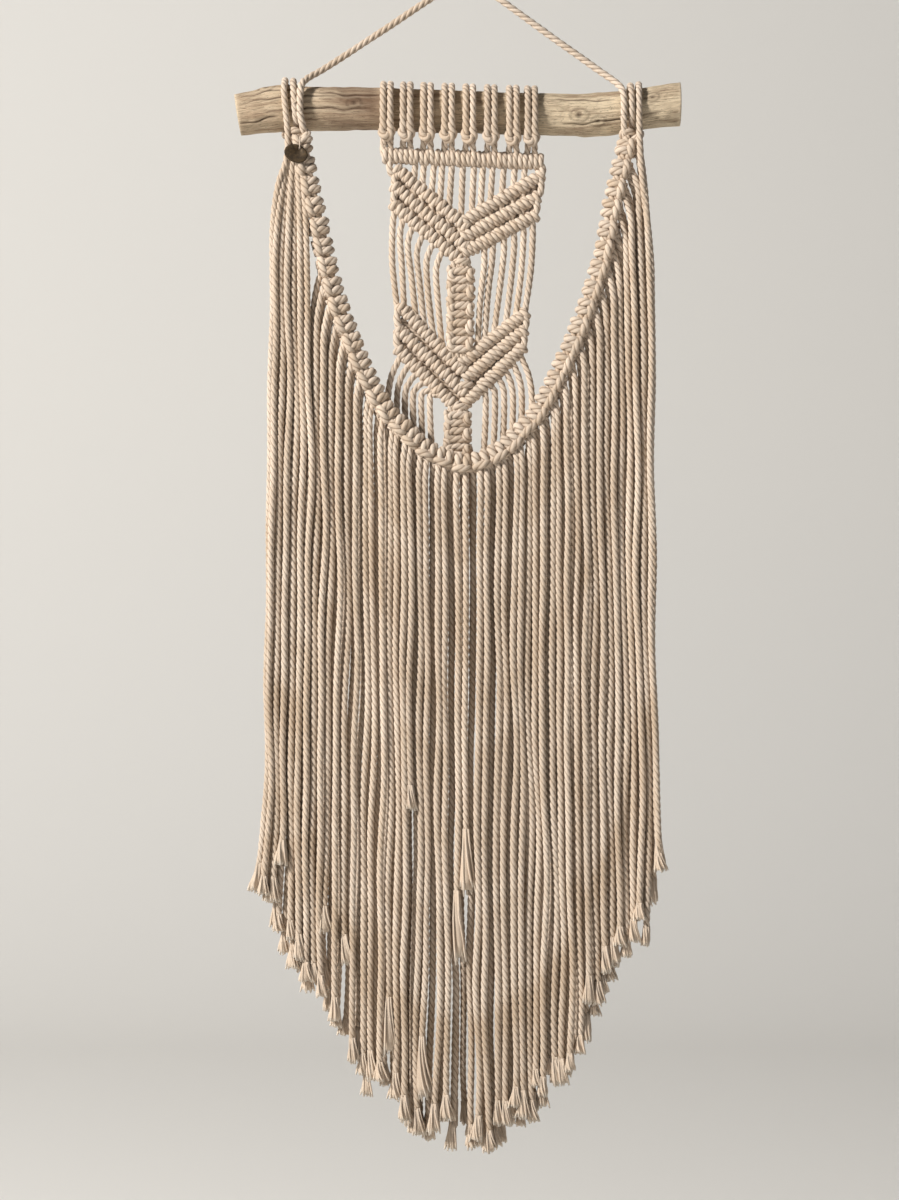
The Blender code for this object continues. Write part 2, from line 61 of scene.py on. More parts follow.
FRAY_YARNS, FRAY_RINGS = 17, 6
FRAY_CORE, FRAY_CORE_TIP, FRAY_CORE_GROWTH = 0.82, 0.72, 0.55  # radius, the same at the tips, growth
# FRAY_CORE_CROWN is a low crown value, which gives the brush's core part of the painted groove shade
FRAY_CORE_SHORT, FRAY_CORE_SIDES, FRAY_CORE_CROWN = 0.07, 10, 0.35
FRAY_PACKING, FRAY_TURN, FRAY_LAG = 0.86, 2.4, 0.9  # reach, angle from one yarn to the next, swing back
YARN_RADII = ((0.0, 0.85), (0.5, 1.05), (0.9, 1.1), (1.0, 0.75))  # share of the brush's length, radius
# YARN_CROWN's lower values give the flat sides of each yarn a little of the painted groove shade
YARN_SECTION, YARN_CROWN = np.array((1.0, 0.8, 1.0, 0.8)), np.array((1.0, 0.5, 1.0, 0.5))
FIBRE_SHIFT = 37.0  # keeps the fibres of one cord from matching those of the next

# ---- the knotted work
PANEL_Y = -7.0
SWAG_Y = -19.5
SWAG_START_Y, SWAG_FORWARD_OVER = -14.5, 48.0  # under the branch, and the length in which it comes forward

ROD = (  # x, z of the centre, radius
    (-172, -105.9, 15.7), (-158, -103.6, 16.9), (-139, -100.9, 17.9),
    (-120, -100.9, 16.9), (-92, -101.4, 16.6), (-65, -101.8, 16.3),
    (-25, -103.1, 16.4), (15, -104.2, 16.1), (55, -105.4, 16.1),
    (80, -106.3, 15.9), (93, -106.2, 16.7), (115, -104.3, 16.5),
    (135, -101.2, 15.8), (161.5, -97.7, 16.7),
)
ROD_DENT = 0.05  # depth of its hollows, as a share of the radius
ROD_WAVES = (0.061, 0.023)  # how fast they turn along it, in radians a millimetre
ROD_END_SLANT, SLANT_FADE = 0.16, 9.0  # how far the left cut leans, and over what length that fades

HEADS = (  # x of the pair's middle, z of its knot
    (-59.5, -123.8), (-44.6, -124.4), (-29.3, -125), (-13.4, -125.7),
    (2.5, -126.4), (18.7, -127), (35.2, -127.7), (49, -128.3),
)
HEAD_PAIR = 5.1  # between the two strands of a head
BAR_START, BAR_END = (-62.5, -137.4), (58.5, -142.4)
BAR_TURNS, ROW_TURNS = 31, 15
BAR_ROW = ((4.3, 3.9), 2.5, 0.05)  # reach across and in depth, radius of the cord, lean
LEFT_ROW = ((2.85, 2.9), 2.7, -0.1)
RIGHT_ROW = ((3.05, 2.8), 2.75, 0.12)
ROW_TIP, ROW_EDGE = 3.0, 1.8  # the rows run on past the middle, where they lock, and past the edge cords
UPPER_V = (  # x, z at the outer end, x, z at the middle
    (-51.8, -148, -1.5, -189.8), (-53.3, -161, -2, -204.3),
    (-54, -174.7, -2.5, -217.5), (56.5, -152.5, 0.8, -186),
    (53.3, -169, 0, -198), (51.8, -183, 0.5, -209.5),
)
LOWER_V = (
    (-48.8, -251.3, -5, -297.5), (-50.3, -268.8, -3, -313.8),
    (-50.3, -284, -6, -328), (44.3, -256.5, -2, -292.5),
    (42.8, -269.3, 1.5, -303.8), (41.6, -282.5, 1.5, -321.5),
)
SINNETS = (  # x, z at the top, x, z at the foot, number of square knots
    (-4, -221.5, -4.8, -286.5, 5), (-6.3, -330, -6.9, -366, 3),
)
SHORT_CORDS = (-39.8, -33.0, -25.5, -19.3, -12.0, -4.0, 4.5, 11.3, 18.8, 27.0, 35.3, 42.8)
SIDE_CORDS = (  # x, z at the top, z at the foot; x near the top, half-way and at the foot; to the front
    (-53, -179.4, -252, -55.3, -55.4, -51.6, 0), (-46, -185.2, -256.5, -49.7, -48, -46.4, 0),
    (-38.5, -191.9, -263, -43.8, -40.8, -37.3, 0), (-31, -198.7, -270, -37, -34.4, -30.8, 0),
    (-23.5, -205.5, -276.5, -29.8, -28.2, -24, 0.5), (-16.5, -211.1, -284, -22.6, -20.8, -17.7, 1),
    (14, -207, -283, 13.6, 10.6, 8.6, 2.6), (21, -202, -276.5, 19.6, 16.4, 13.9, 1.8),
    (28.5, -197, -271, 28.4, 25.4, 20.8, 0), (35.5, -192, -265.5, 36.2, 33.8, 29.6, 0),
    (43, -187, -260.5, 43.2, 41.4, 37, 0), (49.5, -184, -256, 50.2, 48.8, 44, 0),
)
LONG_CORDS = (  # x, z at the top, x where the cord turns down
    (-48.5, -287, -58.5), (-42, -293, -51.8), (-35.5, -299.5, -45.8),
    (-29, -306, -39.8), (-22.5, -312.5, -33.5), (-16, -317.5, -27),
    (-11.5, -355, -16.5), (-7, -356, -9.5), (-2.5, -356, -2.6),
    (2, -355, 4.3), (9.5, -312, 14.8), (16, -307, 21.8),
    (22.5, -302, 28.7), (28.5, -297, 35.3), (34.5, -292, 42), (40, -286, 49.5),
)
TURN_Z, CENTRE_TURN_Z = -318.0, -372.0  # where the side cords and the middle ones turn down
BEND_SHARE = 0.72  # share of their way out at half that height

SWAG = (  # x, z
    (-123, -123), (-119.5, -145.5), (-114, -171.8), (-108.5, -195.8),
    (-102.6, -222.8), (-95, -249.8), (-84.2, -279), (-71, -309),
    (-58, -330.8), (-47, -342), (-36.5, -352.5), (-25.5, -360.8),
    (-12, -366), (-1.5, -369), (10.5, -366.8), (18, -363.8),
    (29.3, -357), (40.5, -345), (51, -333.8), (57.8, -322.5),
    (65.3, -308.3), (72.8, -292.5), (79.5, -278.3), (85.5, -262.5),
    (90.8, -248.3), (95.3, -234), (100, -219.8), (103.6, -203.3),
    (106.4, -186.8), (109.6, -171), (113, -156.8), (116.6, -142.5), (120.5, -125.5),
)
SWAG_KNOTS = 39
KNOTS_CLOSER = 0.07  # by what share the knots sit closer together than usual at the foot of the swag

FRINGE_FRONT_Y, FRINGE_BACK_Y = -22.9, -16.1
LAYER_STAGGER = 1.1  # neighbours hang by turns this far before and behind their layer
FRINGE_BOW = (13.5, 8.8)  # how far the topmost cords stand out past the swag, left and right
FRINGE_LEAST = 3.1
BOW_SHARE, BOW_POWER = 0.36, 1.2  # share of the swag over which the bow dies away, and how
BOW_STEPS = ((0.4, 0.2), (0.8, 0.6), (1.0, 1.0))  # shares of the way out and of the drop
DROP_LEAST, DROP_PER_BOW = 4.0, 4.0
STEEP_SHARE, STEEP_PER_BOW = 0.16, 1.5  # the first cords swing out sooner
FRINGE_FAN, FAN_REACH = 6.0, 150.0  # how far a cord that hangs at this x spreads towards its end
END_UNEVEN = 24.0  # how much shorter than the hem's outline a cord may end
HEM = (  # x, z of the fringe's ends
    (-163, -696), (-150, -712), (-138, -730), (-127, -766),
    (-109, -770), (-95, -808), (-75, -846), (-42, -871),
    (-4.5, -891), (16.5, -886), (44, -871), (70, -837),
    (87, -815), (101, -771), (128, -727), (149, -674),
)

TIE_TURNS = ((-128.4, -1.8), (124.2, -0.3))  # x, lean of a turn round the branch
TURN_CLEARANCE, TIE_STEP = 0.35, 1.8
TIE_KNOTS = ((-125.5, -14.8, -124.0), (124.0, -14.8, -124.5))
TIE_KNOT_RADIUS = 2.75
TIE_KNOT_SIZE = (6.9 / 2.7, 3.4, 5.0 / 2.7)  # sizes of its turns: across, deep, up
LEFT_END = (
    (-136.6, -19.4, -109), (-133.6, -19, -123.5), (-134, -20.5, -143),
    (-138.8, -22.9, -160.5), (-142.4, -22.9, -191), (-145, -22.9, -223),
    (-146.3, -22.9, -262), (-147.2, -22.9, -472), (-152, -22.9, -650), (-157, -22.9, -690),
)
RIGHT_END = (
    (130.4, -19.4, -112), (131.2, -21, -127), (131.8, -22.5, -145),
    (133.4, -22.9, -171), (136.8, -22.9, -209), (138.2, -22.9, -248),
    (139.2, -22.9, -397), (140.6, -22.9, -509), (141.6, -22.9, -640), (142.6, -22.9, -672),
)

ROPE_DIAMETER = 5.5
ROPE_LEFT = (
    (-124.3, -20.6, -107), (-124.3, -20.3, -96), (-123.4, -16.5, -86),
    (-118.5, -10, -79.5), (-104, -4, -70), (-60, -0.5, -40.6), (-22, 0, -15.2),
)
ROPE_RIGHT = (
    (118.2, -19.9, -110), (118.3, -19.6, -100), (117.5, -16.5, -90.5),
    (112.5, -10, -83), (98, -4, -71.5), (60, -0.5, -43.8), (22, 0, -16.2),
)

TAG_CENTRE = (-127.0, -138.6)
TAG_WIDTH, TAG_HEIGHT, TAG_THICKNESS = 18.0, 13.5, 1.2
TAG_LEAN = 20.0
TAG_BACK = -25.2

FRONT = np.array((0.0, -1.0, 0.0))
random_source = np.random.default_rng(21)


# ---- curves
def smooth(points, per_span=10):
    """Catmull-Rom curve through the points."""
    p = np.asarray(points, float)
    ends = np.vstack((2 * p[0] - p[1], p, 2 * p[-1] - p[-2]))
    u = np.linspace(0, 1, per_span, endpoint=False)[:, None]
    spans = []
    for a, b, c, d in zip(ends, ends[1:], ends[2:], ends[3:]):
        bend = 2 * a - 5 * b + 4 * c - d + u * (3 * (b - c) + d - a)
        spans.append(b + 0.5 * u * (c - a + u * bend))
    return np.vstack((*spans, p[-1:]))


def reach_along(path):
    steps = np.linalg.norm(np.diff(path, axis=0), axis=1)
    return np.concatenate(([0.0], np.cumsum(steps)))


def points_at(path, goals):
    """The points at the given lengths along the path."""
    reach = reach_along(path)
    return np.stack([np.interp(goals, reach, path[:, i]) for i in range(3)], 1)


def even(path, step):
    """The path with points at even lengths, about step apart."""
    length = reach_along(path)[-1]
    return points_at(path, np.linspace(0, length, max(int(round(length / step)) + 1, 3)))


def table_value(rows, x, column=1):
    rows = np.asarray(rows)
    return np.interp(x, rows[:, 0], rows[:, column])


def bell(away, width):
    """1 where away is 0, and next to nothing beyond twice the width."""
    return np.exp(-((away / width) ** 2))


def carried_frames(path, closed=False):
    """Two directions across the path at each point, carried along it without twist."""
    ahead = np.roll(path, -1, 0) - np.roll(path, 1, 0)
    if not closed:
        ahead[0], ahead[-1] = path[1] - path[0], path[-1] - path[-2]
    ahead /= np.linalg.norm(ahead, axis=1)[:, None]
    first = np.cross(ahead[0], (0.31, 0.87, 0.38))
    first /= np.linalg.norm(first)
    side = np.empty_like(path)
    side[0] = first
    for i in range(1, len(path)):
        carried = side[i - 1] - ahead[i] * side[i - 1].dot(ahead[i])
        side[i] = carried / math.sqrt(carried.dot(carried))
    return side, np.cross(ahead, side)


# ---- meshes
VALUE_KINDS = {3: ("FLOAT_VECTOR", "vector"), 4: ("FLOAT_COLOR", "color")}


def add_object(name, data):
    made = bpy.data.objects.new(name, data)
    bpy.context.scene.collection.objects.link(made)
    return made


def add_mesh(name, points, faces, finish, **values):
    """An object from points in millimetres. values holds rows of numbers for the finish to read."""
    mesh = bpy.data.meshes.new(name)
    mesh.from_pydata((np.asarray(points) * MM).tolist(), [], faces)
    for word, rows in values.items():
        kind, field = VALUE_KINDS[rows.shape[-1]]
        mesh.attributes.new(word, kind, "POINT")
        mesh.attributes[word].data.foreach_set(field, rows.astype(np.float32).ravel())
    mesh.shade_smooth()
    mesh.materials.append(finish)
    return add_object(name, mesh)


def wall(rings, sides, closed=False):
    """The faces between rings of points. closed joins the last ring to the first."""
    ring = np.arange(rings if closed else rings - 1)[:, None] * sides
    k = np.arange(sides)[None, :]
    n = (k + 1) % sides
    after = (ring + sides) % (rings * sides)
    return np.stack((ring + k, ring + n, after + n, after + k), -1).reshape(-1, 4)


class Yarn:
    """Collects cords, and makes them into one mesh."""

    def __init__(self):
        self.points, self.quads, self.ends = [], [], []
        self.cord, self.fibre = [], []
        self.count = 0

    def tube(self, path, section, radii, crown, tone, fray, turn, closed=False, frames=None):
        """A tube along the path. section holds shares of the radius round it, turn its angle at each point.

        crown, tone and fray go to the finish: crown round the tube, fray along it, and one tone for all. A
        low crown gets the painted shade of the grooves.
        """
        rings, sides = len(path), len(section)
        side, up = frames or carried_frames(path, closed)
        angles = 2 * math.pi * np.arange(sides) / sides
        around = angles[None, :] + turn[:, None]
        reach = radii[:, None] * section[None, :]
        out = side[:, None, :] * np.cos(around)[..., None] + up[:, None, :] * np.sin(around)[..., None]
        self.points.append((path[:, None, :] + out * reach[..., None]).reshape(-1, 3))
        self.quads.append(wall(rings, sides, closed) + self.count)
        if not closed:
            last = self.count + (rings - 1) * sides
            self.ends.append(list(range(self.count + sides - 1, self.count - 1, -1)))
            self.ends.append(list(range(last, last + sides)))
        cord = np.ones((rings, sides, 4))
        # channel 0, the crown, sets how much painted groove shade the finish lays on
        cord[..., 0] = crown[None, :]
        cord[..., 1] = tone
        cord[..., 2] = fray[:, None]
        fibre = np.empty((rings, sides, 3))
        fibre[..., 0] = np.cos(around) * radii[:, None] + FIBRE_SHIFT * tone
        fibre[..., 1] = np.sin(around) * radii[:, None]
        fibre[..., 2] = reach_along(path)[:, None]
        self.cord.append(cord.reshape(-1, 4))
        self.fibre.append(fibre.reshape(-1, 3))
        self.count += rings * sides

    def laid(
        self, path, radius=CORD_RADIUS, step=FALL_STEP, closed=False,
        tone=None, groove=GROOVE, bulge=None, keep=slice(None), phase=None,
    ):
        """A cord of three plies, S-laid, along a smooth path.

        bulge swells it: share of the length, width as a share, growth. keep names the rings to make.
        """
        path = even(np.asarray(path, float), step)
        total = reach_along(path)[-1]
        lay = LAY
        if closed:
            path = path[:-1]
            lay = total * PLIES / max(round(total * PLIES / LAY), 1)
        reach = reach_along(path)
        if phase is None:
            phase = random_source.uniform(0, 2 * math.pi)
        radii = np.full(len(path), float(radius))
        if not closed:
            radii *= 1 + sum(size * np.sin(reach / long + part * phase) for size, long, part in THICK_WAVES)
        if bulge:
            radii *= 1 + bulge[2] * bell(reach / total - bulge[0], bulge[1])
        if tone is None:
            tone = random_source.uniform(0, 1)
        section, crown = np.tile((groove, *PLY_SHAPE), PLIES), np.tile(PLY_CROWN, PLIES)
        frames = [way[keep] for way in carried_frames(path, closed)]
        path, radii, turn = path[keep], radii[keep], (phase - 2 * math.pi * reach / lay)[keep]
        self.tube(path, section, radii, crown, tone, np.zeros(len(path)), turn, closed, frames)

    def straight(self, start, end, radius):
        self.laid((start, end), radius, STRAIGHT_STEP)

    def frayed(self, path, length, tone, wide):
        """The loosened end of a cord: yarns that spread like a brush round a soft core.

        path ends at the tips, and wide says how many times the cord's width the brush has there.
        """
        total = reach_along(path)[-1]
        length = min(length, total * 0.9)
        shares = np.linspace(0, 1, FRAY_RINGS)
        squared = shares**2
        line = points_at(path, total - length + length * shares)
        side, up = frames = carried_frames(line)
        body = CORD_RADIUS * FRAY_CORE * (1 + (wide - 1) * FRAY_CORE_GROWTH * shares)
        body[-1] *= FRAY_CORE_TIP
        inner = line - (line - line[:1]) * (FRAY_CORE_SHORT * squared)[:, None]
        round_core = np.ones(FRAY_CORE_SIDES)
        # the low crown paints the core, which sits among the yarns, with part of the painted groove shade
        crown = round_core * FRAY_CORE_CROWN
        self.tube(inner, round_core, body, crown, tone, 0.3 + 0.5 * squared, 0 * shares, False, frames)
        for k in range(FRAY_YARNS):
            distance = CORD_RADIUS * FRAY_PACKING * math.sqrt((k + 0.6) / FRAY_YARNS)
            angle = FRAY_TURN * k + random_source.uniform(-0.25, 0.25)
            spread = 1 + (wide - 1) * shares**1.1 * random_source.uniform(0.55, 1.05)
            curl = random_source.uniform(-0.5, 0.5)
            bend = random_source.normal(0, 0.45, 2)
            swing = angle - FRAY_LAG * shares + curl * squared
            yarn = line + side * (np.cos(swing) * distance * spread + bend[0] * squared)[:, None]
            yarn = yarn + up * (np.sin(swing) * distance * spread + bend[1] * squared)[:, None]
            short = random_source.uniform(-0.05, 0.12)
            yarn = yarn - (yarn - yarn[:1]) * (short * squared)[:, None]
            radii = table_value(YARN_RADII, shares) * random_source.uniform(0.85, 1.15)
            self.tube(yarn, YARN_SECTION, radii, YARN_CROWN, tone, 0.2 + 0.8 * squared, shares * 1.5)

    def build(self, name, finish):
        faces = np.vstack(self.quads).tolist() + self.ends
        values = {"cord": np.vstack(self.cord), "fibre": np.vstack(self.fibre)}
        made = add_mesh(name, np.vstack(self.points), faces, finish, **values)
        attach(made, "root")
        return made


# ---- finishes
def linear(rgb):
    """A colour from 0-255 screen values."""
    return tuple((v / 255 / 12.92) if v / 255 <= 0.04045 else ((v / 255 + 0.055) / 1.055) ** 2.4 for v in rgb)


class Finish:
    """A material and short ways to add its nodes."""

    def __init__(self, name):
        self.material = bpy.data.materials.new(name)
        self.material.use_nodes = True
        self.tree = self.material.node_tree
        self.shader = self.tree.nodes["Principled BSDF"]

    def put(self, goal, value):
        """Gives a socket a number, a colour or another node's output."""
        if isinstance(value, (int, float)):
            goal.default_value = value
        elif isinstance(value, tuple):
            goal.default_value = (*value, 1.0) if len(goal.default_value) == 4 else value
        else:
            self.tree.links.new(value, goal)

    def node(self, kind, sockets=(), **settings):
        """The outputs of a new node. sockets holds what its inputs get, by name or by number."""
        made = self.tree.nodes.new("ShaderNode" + kind)
        for name, value in settings.items():
            setattr(made, name, value)
        for name, value in dict(sockets).items():
            self.put(made.inputs[name], value)
        return made.outputs

    def attribute(self, name):
        return self.node("Attribute", attribute_name=name)

    def split(self, source):
        return self.node("SeparateColor", {0: source})

    def stretch(self, vector, scale):
        return self.node("VectorMath", {0: vector, 1: scale}, operation="MULTIPLY")[0]

    def noise(self, vector, scale, detail=3.0, roughness=0.6):
        sockets = {"Vector": vector, "Scale": scale, "Detail": detail, "Roughness": roughness}
        return self.node("TexNoise", sockets)["Fac"]

    def ramp(self, value, low, high, to_low=0.0, to_high=1.0):
        sockets = {"Value": value, "From Min": low, "From Max": high, "To Min": to_low, "To Max": to_high}
        return self.node("MapRange", sockets)[0]

    def mix(self, share, a, b, blend="MIX"):
        return self.node("Mix", {"Factor": share, 6: a, 7: b}, data_type="RGBA", blend_type=blend)[2]

    def math(self, operation, a, b):
        return self.node("Math", {0: a, 1: b}, operation=operation)[0]

    def bump(self, height, strength, distance):
        sockets = {"Height": height, "Strength": strength, "Distance": distance}
        self.surface(Normal=self.node("Bump", sockets)[0])

    def over(self, face, colour, value, *limits):
        """The face with the colour laid over it by a ramp of the value."""
        return self.mix(self.ramp(value, *limits), face, colour)

    def shaded(self, face, shade):
        """The face made lighter or darker by the factor shade."""
        grey = self.node("CombineColor", {0: shade, 1: shade, 2: shade})
        return self.mix(1.0, face, grey[0], "MULTIPLY")

    def surface(self, **values):
        """Sets the shader's sockets: Base_Color stands for Base Color."""
        for name, value in values.items():
            self.put(self.shader.inputs[name.replace("_", " ")], value)


COTTON_CROWN = linear((223, 206, 188))
# painted shade: a darker colour laid into the grooves between plies, where shade falls
COTTON_GROOVE_PAINTED_SHADE = linear((130, 105, 83))
COTTON_DUSKY = linear((196, 175, 152))
COTTON_TIP = linear((240, 228, 212))
COTTON_PINK = linear((216, 196, 174))


def cotton():
    made = Finish("cotton_cord")
    cord = made.split(made.attribute("cord")["Color"])
    fibre = made.attribute("fibre")["Vector"]
    fine = made.noise(made.stretch(fibre, (1.0, 1.0, 0.22)), 3.2, 4.0, 0.7)
    patches = made.noise(made.stretch(fibre, (0.02, 0.02, 0.02)), 1.0, 2.0)
    face = made.over(COTTON_CROWN, COTTON_DUSKY, patches, 0.35, 0.65)
    # painted shade: where the crown value is low, in the grooves, the colour darkens towards the painted
    # groove shade
    face = made.over(face, COTTON_GROOVE_PAINTED_SHADE, cord[0], 0.0, 0.55, 0.85, 0.0)
    face = made.over(face, COTTON_PINK, cord[2], 0.05, 0.6, 0.0, 0.75)
    face = made.over(face, COTTON_TIP, cord[2], 0.7, 1.0)
    by_fibre = made.ramp(fine, 0.25, 0.75, 0.80, 1.10)
    shade = made.math("MULTIPLY", by_fibre, made.ramp(cord[1], 0, 1, 0.90, 1.04))
    made.surface(Base_Color=made.shaded(face, shade), Roughness=0.92, Specular_IOR_Level=0.18)
    made.surface(Sheen_Weight=0.1, Sheen_Roughness=0.6)
    made.bump(fine, 0.55, 0.0006)
    return made.material


WOOD_TAN = linear((202, 180, 152))
WOOD_YELLOW = linear((222, 203, 173))
WOOD_BROWN = linear((134, 106, 82))
WOOD_DARK = linear((66, 46, 34))
WOOD_PALE = linear((226, 208, 180))
WOOD_SMEAR = linear((112, 84, 64))
SMEAR_EDGES = ((-112.0, -92.0), (-72.0, -56.0))  # x over which the brown smear comes and goes


def driftwood():
    made = Finish("driftwood")
    bark = made.split(made.attribute("bark")["Color"])
    grain = made.attribute("grain")["Vector"]
    streaks = made.noise(made.stretch(grain, (0.012, 0.16, 0.16)), 1.6, 6.0, 0.65)
    fine = made.noise(made.stretch(grain, (0.06, 0.8, 0.8)), 1.2, 5.0, 0.75)
    blotch = made.noise(made.stretch(grain, (0.022, 0.05, 0.05)), 1.0, 3.0)
    specks = made.noise(made.stretch(grain, (0.25, 0.6, 0.6)), 1.3, 3.0, 0.8)
    face = made.mix(bark[1], WOOD_TAN, WOOD_YELLOW)
    face = made.over(face, WOOD_BROWN, blotch, 0.52, 0.74, 0.0, 0.6)
    face = made.over(face, WOOD_BROWN, streaks, 0.52, 0.68, 0.0, 0.65)
    face = made.over(face, WOOD_PALE, streaks, 0.30, 0.44, 0.65, 0.0)
    face = made.over(face, WOOD_BROWN, fine, 0.53, 0.64, 0.0, 0.65)
    face = made.over(face, WOOD_DARK, specks, 0.59, 0.68, 0.0, 0.65)
    x = made.split(grain)[0]
    comes, goes = (made.ramp(x, *edge) for edge in SMEAR_EDGES)
    smear = made.math("MULTIPLY", comes, made.math("SUBTRACT", 1.0, goes))
    smear = made.math("MULTIPLY", smear, made.ramp(blotch, 0.30, 0.62, 0.25, 0.9))
    face = made.mix(smear, face, WOOD_SMEAR)
    face = made.mix(bark[0], face, WOOD_DARK)
    face = made.over(face, WOOD_PALE, bark[2], 0.0, 1.0, 0.0, 0.85)
    face = made.shaded(face, made.ramp(fine, 0.3, 0.7, 1.26, 0.74))
    made.surface(Base_Color=face, Roughness=0.75, Specular_IOR_Level=0.25)
    made.bump(made.math("ADD", made.math("MULTIPLY", fine, -1.0), streaks), 0.8, 0.002)
    return made.material


BRASS_DARK, BRASS_WORN = linear((50, 38, 22)), linear((84, 66, 42))


def aged_brass():
    made = Finish("aged_brass")
    wear = made.noise(made.node("TexCoord")["Object"], 420.0, 4.0)
    face = made.over(BRASS_DARK, BRASS_WORN, wear, 0.4, 0.7)
    made.surface(Base_Color=face, Roughness=made.ramp(wear, 0.3, 0.7, 0.72, 0.55), Metallic=0.45)
    made.bump(wear, 0.2, 0.0002)
    return made.material


# ---- the branch
def smooth_value(rows, x, column):
    """A value of the table at x, without corners."""
    return table_value(smooth(rows, 12), x, column)


def rod_section(x):
    return float(smooth_value(ROD, x, 1)), float(smooth_value(ROD, x, 2))


RIPPLES = (  # height, lengths along the branch, turns round it: long waves, then finer ones, then knobs
    (0.28, (190, 120, 260, 90, 150, 75), (7, 11, -9, 14, -17, 21)),
    (0.22, (60, 44, 85, 38, 52, 31), (23, -27, 31, 18, -35, 29)),
    (0.16, (95, 70, 130, 55, 160, 48), (43, -51, 47, 57, -39, 61)),
    (0.35, (23, 31, 14, 18, 41, 11), (1, 2, -1, 3, -2, 2)),
)
CRACKS = (  # x at the start, x at the end, angle in degrees (0 front, 90 top), drift, depth
    (-170, -96, 18, 10, 1.5), (-168, -128, 47, -8, 1.1),
    (-152, -70, -14, 9, 1.2), (-118, -62, 36, -6, 0.9), (-172, -140, -35, 6, 1), (62, 112, 40, -7, 0.8),
    (72, 150, -32, 8, 0.9), (-60, 60, 74, 12, 0.9), (-150, -20, 150, 14, 1.3), (10, 140, 200, -16, 1.2),
    (-160, -60, 235, 12, 1.1), (-40, 120, 262, 10, 0.9),
)
TWIG_SCARS = (  # x, angle in degrees, radius, height
    (85, -8, 5, 1.4), (99, -26, 4, 1.1), (-150, 62, 4.5, 1),
    (-84, 8, 4, 0.8), (140, 22, 3.6, 0.9), (30, 170, 5, 1.3), (-100, 205, 4.5, 1.2),
)
CRACK_WANDER = ((0.05, 7.0), (0.03, 2.9))  # radians, length
CRACK_WIDTH, CRACK_DARK = 0.75, 0.6
CRACK_EDGE, CRACK_EDGE_WIDTH, CRACK_EDGE_PALE = 2.0, 0.9, 0.35  # the pale line beside a crack
SCAR_LONG = 1.3  # how much longer than wide
YELLOW_FROM, YELLOW_OVER = 20.0, 25.0  # x past which the wood is yellower
CUT_RINGS = (0.965, 0.8, 0.6, 0.4, 0.2, 0.04)  # shares of the radius
ROD_RINGS, ROD_ROUND = 260, 132


def turned(angle):
    """The angle between -pi and pi."""
    return (angle + math.pi) % (2 * math.pi) - math.pi


def cut_rings(edge, way):
    """A cut end's rings from its edge inward: points, paint and grain. way is the side that it faces."""
    centre = edge.mean(0)
    rings = []
    for share in CUT_RINGS:
        ring = centre + (edge - centre) * share
        ring[:, 0] += way * (0.5 * (1 - share) + 0.12 * np.sin(share * 60))
        paint = (0.6 if share < 0.1 else 0.25, 0.5, 0.6 if share > 0.7 else 0.35, 1.0)
        grain = (way * 300.0 * share, 0.0, 0.0)
        rings.append((ring, np.tile(paint, (ROD_ROUND, 1)), np.tile(grain, (ROD_ROUND, 1))))
    return rings


